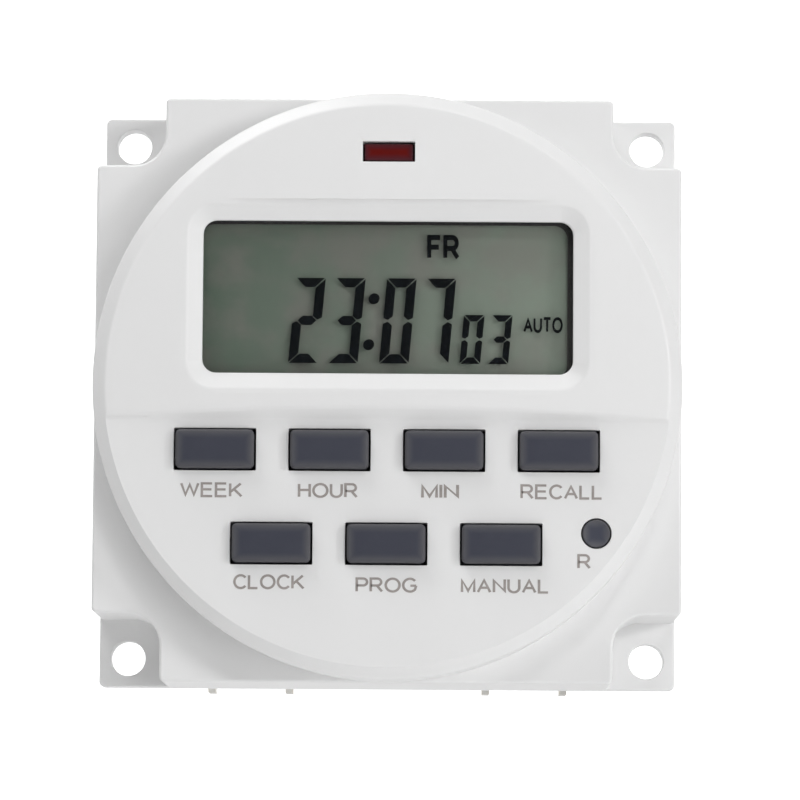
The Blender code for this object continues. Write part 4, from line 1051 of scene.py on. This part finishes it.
def lettering(name, text, x, z, front, look, slot, weight=0.18):
    """A word as a thin plate that fills a rectangle on the face, x wide and z high.

    weight is the pen's width over the height of a letter.
    """
    half = weight / 2
    space = 0.08 + weight
    pen = 0.0
    strokes = []
    for letter in text:
        width = max(u for points in LETTERS[letter] for u, _ in points)
        strokes += [[(pen + u, v) for u, v in points] for points in LETTERS[letter]]
        pen += width + space
    long = pen - space

    def place(point, back):
        across = (point.x + half) / (long + weight)
        up = (point.y + half) / (1 + weight)
        return (x[0] + across * (x[1] - x[0]), front + back * INK, z[0] + up * (z[1] - z[0]))

    plates = [stroke(f"{name}_{i}", points, half, place) for i, points in enumerate(strokes)]
    word = carve(plates[0], *[("UNION", plate) for plate in plates[1:]])
    word.name = name
    finished(word, "case", MATERIALS[look], slot)


def lcd_words():
    """The day above the time, and the mode to its right."""
    day = ((3.95 * MM, 7.25 * MM), (12.8 * MM, 15.4 * MM))
    mode = ((13.75 * MM, 17.75 * MM), (5.4 * MM, 7.05 * MM))
    lettering("lcd_day", "FR", *day, INK_FRONT, "lcd_ink", "carbon", 0.25)
    lettering("lcd_mode", "AUTO", *mode, INK_FRONT, "lcd_ink", "carbon", 0.23)


def legends():
    """A generic printed word below each key, between these sides and on this line, in millimetres."""
    words = [
        ("week", "WEEK", -20.83, -14.5, -11.66),
        ("hour", "HOUR", -8.95, -2.88, -11.66),
        ("minute", "MIN", 3.48, 7.31, -11.66),
        ("recall", "RECALL", 13.49, 21.8, -11.66),
        ("clock", "CLOCK", -15.36, -8.16, -20.92),
        ("program", "PROG", -3.06, 3.18, -21.17),
        ("manual", "MANUAL", 7.53, 16.44, -21.17),
        ("reset", "R", 19.24, 20.62, -18.68),
    ]
    front = KEY_FACE_Y - 0.02 * MM
    for name, text, left, right, bottom in words:
        x = (left * MM, right * MM)
        z = (bottom * MM, bottom * MM + LEGEND_HEIGHT)
        lettering(f"legend_{name}", text, x, z, front, "legend_ink", "dark_frame")


def indicator():
    """Red lens with soft edges and a flange behind the face."""
    low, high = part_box("indicator_window")
    centre = middle("indicator_window")
    half_x = (high.x - low.x) / 2 - LENS_LAP - LENS_GAP / 2
    half_z = (high.z - low.z) / 2 - LENS_LAP - LENS_GAP / 2

    def outline(share, inset):
        x = (half_x - inset) * share
        z = (half_z - inset) * share
        return rectangle((-x, x), (-z, z), 0.12 * MM * share, 4)

    flange_front = INNER_FACE + GAP
    sections = cap_sections(outline, low.y, 0.15 * MM, 0.03 * MM)
    sections += [at(outline(1, 0), flange_front), at(outline(1, -LENS_LAP), flange_front)]
    sections.append(at(outline(1, -LENS_LAP), high.y))
    lens = loft("indicator_lens", sections)
    lens.location = (centre.x, 0, centre.z)
    look = red_lens("indicator_red", half_x, half_z)
    finished(smooth_shading(lens), "case", look, "red_plastic", "indicator_window")


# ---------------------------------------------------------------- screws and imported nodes


def ease(obj, width):
    """Rounds hard edges with modifiers only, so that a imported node's own mesh stays as it is."""
    weld = obj.modifiers.new("weld", "WELD")
    weld.merge_threshold = 1e-6
    flat = obj.modifiers.new("whole_faces", "DECIMATE")
    flat.decimate_type = "DISSOLVE"
    flat.angle_limit = radians(0.3)
    bevel = obj.modifiers.new("soft_edges", "BEVEL")
    bevel.width = width
    bevel.segments = 2
    bevel.limit_method = "ANGLE"
    bevel.angle_limit = radians(35)
    weighted = obj.modifiers.new("shading", "WEIGHTED_NORMAL")
    weighted.keep_sharp = True
    obj.data.shade_smooth()
    return obj


def screw_profile(head_radius, tip, top):
    """(radius, y) from the crown of the head at top, down a coarse thread, to the tip."""
    seat = top - SCREW_HEAD
    profile = [(0, top)]
    for k in range(5):
        angle = k / 4 * pi / 2
        drop = 0.75 * SCREW_HEAD * (1 - cos(angle))
        profile.append((head_radius * (0.45 + 0.55 * sin(angle)), top - drop))
    root = 0.8 * THREAD_RADIUS
    profile += [(head_radius, seat), (root, seat)]
    y = seat - THREAD_PITCH
    while y - THREAD_PITCH > tip + THREAD_PITCH:
        crest = (THREAD_RADIUS, y - 0.3 * THREAD_PITCH)
        profile += [(root, y), crest, (root, y - 0.6 * THREAD_PITCH)]
        y -= THREAD_PITCH
    return profile + [(0.7 * THREAD_RADIUS, tip + 0.5 * MM), (0, tip)]


def cross_cutters(top):
    """The two arms of the recess in a screw head."""
    blade, reach = 0.24 * MM, 1.25 * MM
    ends = (top - 0.85 * MM, top + MM)
    upright = slab("cross_upright", rectangle((-blade, blade), (-reach, reach)), *ends)
    level = slab("cross_level", rectangle((-reach, reach), (-blade, blade)), *ends)
    return upright, level


def case_screws():
    """Pan-head screws with a cross recess, driven from the back."""
    for i in range(4):
        node = f"case_screw_{i + 1}"
        low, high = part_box(node)
        screw = turned(f"screw_{i + 1}", screw_profile((high.x - low.x) / 2, low.y, high.y), 48)
        carve(screw, *[("DIFFERENCE", arm) for arm in cross_cutters(high.y)])
        screw.location = (middle(node).x, 0, middle(node).z)
        finished(smooth_shading(screw), "case", MATERIALS["bright_metal"], "bright_metal", node)


def latch_spring():
    """A round wire along a helix below the latch's lug."""
    low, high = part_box("latch_spring")
    centre = middle("latch_spring")
    radius = (high.x - low.x) / 2 - SPRING_WIRE
    length = high.z - low.z
    per_turn = 24
    count = int(SPRING_TURNS * per_turn)
    sections = []
    for k in range(count + 1):
        angle = 2 * pi * k / per_turn
        rise = low.z + SPRING_WIRE + (length - 2 * SPRING_WIRE) * k / count
        wire = [(radius + u, rise + v) for u, v in circle(SPRING_WIRE, 12)]
        sections.append([(centre.x + r * cos(angle), centre.y + r * sin(angle), z) for r, z in wire])
    spring = loft("latch_coil", sections)
    spring.data.shade_smooth()
    finished(spring, "case", MATERIALS["bright_metal"], "bright_metal", "latch_spring")
    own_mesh(spring)


NODE_EDGES = {
    "rear_cover": 0.2 * MM,
    "rail_latch": 0.2 * MM,
    "display_window": 0.08 * MM,
    "lcd_frame": 0.1 * MM,
    "relay": 0.3 * MM,
    "dropper_capacitor": 0.6 * MM,
    "smoothing_capacitor": 0.4 * MM,
    "varistor": 0.5 * MM,
    "fuse_resistor": 0.4 * MM,
    "bridge_rectifier": 0.2 * MM,
    "relay_transistor": 0.2 * MM,
    "controller_chip": 0.15 * MM,
    "backup_battery": 0.4 * MM,
    "battery_strap": 0.08 * MM,
    "board_link": 0.1 * MM,
    "clock_crystal": 0.25 * MM,
}


def packed_nodes():
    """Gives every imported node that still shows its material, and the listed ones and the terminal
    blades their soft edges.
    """
    for name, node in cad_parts.items():
        if node.hide_render:
            continue
        slot = node.data.materials[0].name.split(".")[0]
        node.data.materials.clear()
        node.data.materials.append(MATERIALS[slot])
        if name in NODE_EDGES:
            ease(node, NODE_EDGES[name])
        elif name.startswith("terminal_blade"):
            ease(node, 0.12 * MM)


# ---------------------------------------------------------------- light, stage and camera


def aim(obj, place, target):
    obj.location = place
    obj.rotation_mode = "QUATERNION"
    obj.rotation_quaternion = (Vector(target) - Vector(place)).to_track_quat("-Z", "Y")


def area_light(name, place, size, power):
    """A round soft light of this width, turned towards the face."""
    data = bpy.data.lights.new(name, "AREA")
    data.shape = "DISK"
    data.size = size
    data.energy = power
    light = bpy.data.objects.new(name, data)
    bpy.context.scene.collection.objects.link(light)
    aim(light, place, (0, FRONT_Y, 0))


LIGHT_DISTANCE = 0.7


def toward(tilt, turn):
    """A light's place: tilt away from straight ahead, turned from right towards up, in degrees."""
    out = LIGHT_DISTANCE * cos(radians(tilt))
    side = LIGHT_DISTANCE * sin(radians(tilt))
    return (side * cos(radians(turn)), FRONT_Y - out, side * sin(radians(turn)))


def surroundings():
    """A room that is pale to look at, lights a little from above, and is dark ahead of the face."""
    world = bpy.data.worlds.new("studio")
    bpy.context.scene.world = world
    world.use_nodes = True
    tree = world.node_tree
    direction = add(tree, "TexCoord").outputs["Generated"]
    up = add(tree, "VectorMath", {0: direction, 1: (0.0, 0.0, 1.0)}, operation="DOT_PRODUCT")
    ahead = add(tree, "VectorMath", {0: direction, 1: (0.0, -1.0, 0.1)}, operation="DOT_PRODUCT")
    sky = ranged(tree, up.outputs["Value"], 0.0, 1.0, 0.0, 0.2)
    open_side = ranged(tree, ahead.outputs["Value"], 0.82, 0.94, 1.0, 0.0, True)
    lit = add(tree, "Math", {0: sky, 1: open_side}, operation="MULTIPLY")
    seen = add(tree, "LightPath").outputs["Is Camera Ray"]
    strength = add(tree, "Math", {0: lit.outputs[0], 1: seen}, operation="MAXIMUM")
    background = tree.nodes["Background"]
    background.inputs["Color"].default_value = (1.0, 1.0, 1.0, 1.0)
    tree.links.new(strength.outputs[0], background.inputs["Strength"])


def studio():
    """Wide soft light from above and from the right, and two small lights between them."""
    surroundings()
    area_light("top_light", toward(80, 115), 0.42, 3.35)
    area_light("right_light", toward(32, 0), 0.42, 1.2)
    area_light("low_right_light", toward(57, 12), 0.15, 1.2)
    area_light("high_light", toward(45, 75), 0.15, 0.8)


def flat_stage(name, corners, look):
    """One face of the surroundings, which isn't part of the timer."""
    mesh = bpy.data.meshes.new(name)
    mesh.from_pydata(corners, [], [(0, 1, 2, 3)])
    mesh.materials.append(look)
    obj = bpy.data.objects.new(name, mesh)
    bpy.context.scene.collection.objects.link(obj)


def stage():
    """A pale floor well below the timer, and a white backdrop well behind it."""
    pale = (0.82, 0.82, 0.82)
    floor_look = surface("floor", pale, 0.6, mottle=0.01, patch=80 * MM, grain=2 * MM, depth=0.02 * MM)
    wide, floor_z = 3.0, -0.12
    corners = ((-wide, -wide), (wide, -wide), (wide, wide), (-wide, wide))
    floor = [(x, y, floor_z) for x, y in corners]
    flat_stage("floor", floor, floor_look)
    look, tree, shader = new_material("backdrop")
    glow = add(tree, "Emission", {"Color": (1.0, 1.0, 1.0, 1.0), "Strength": 1.5})
    tree.nodes.remove(shader)
    tree.links.new(glow.outputs[0], tree.nodes["Material Output"].inputs["Surface"])
    far, reach = 1.2, 2.0
    wall = [(-reach, far, floor_z), (reach, far, floor_z), (reach, far, reach), (-reach, far, reach)]
    flat_stage("backdrop", wall, look)


def camera():
    """Long lens, nearly square to the face, from a little below."""
    distance = 475.4 * MM
    target = Vector((1.26 * MM, -22.8 * MM, -1.12 * MM))
    pitch, yaw, roll = radians(6.23), radians(-0.38), radians(0.40)
    forward = Vector((sin(yaw) * cos(pitch), cos(yaw) * cos(pitch), sin(pitch)))
    right = forward.cross(Vector((0, 0, 1))).normalized()
    up = right.cross(forward)
    across = cos(roll) * right + sin(roll) * up
    upward = cos(roll) * up - sin(roll) * right
    data = bpy.data.cameras.new("camera")
    data.sensor_width = 36
    data.lens = 209.5
    data.clip_start = 0.01
    data.clip_end = 20
    made = bpy.data.objects.new("camera", data)
    bpy.context.scene.collection.objects.link(made)
    turn = Matrix((across, upward, -forward)).transposed().to_4x4()
    made.matrix_world = Matrix.Translation(target - forward * distance) @ turn
    bpy.context.scene.camera = made


front_housing()
for key_name in KEY_NAMES:
    key_cap(key_name)
reset_cap()
lcd_layers()
painted_wall_shadow()
lcd_digits()
lcd_words()
legends()
indicator()
case_screws()
latch_spring()
packed_nodes()
studio()
stage()
camera()
bpy.context.scene.view_settings.view_transform = "Standard"
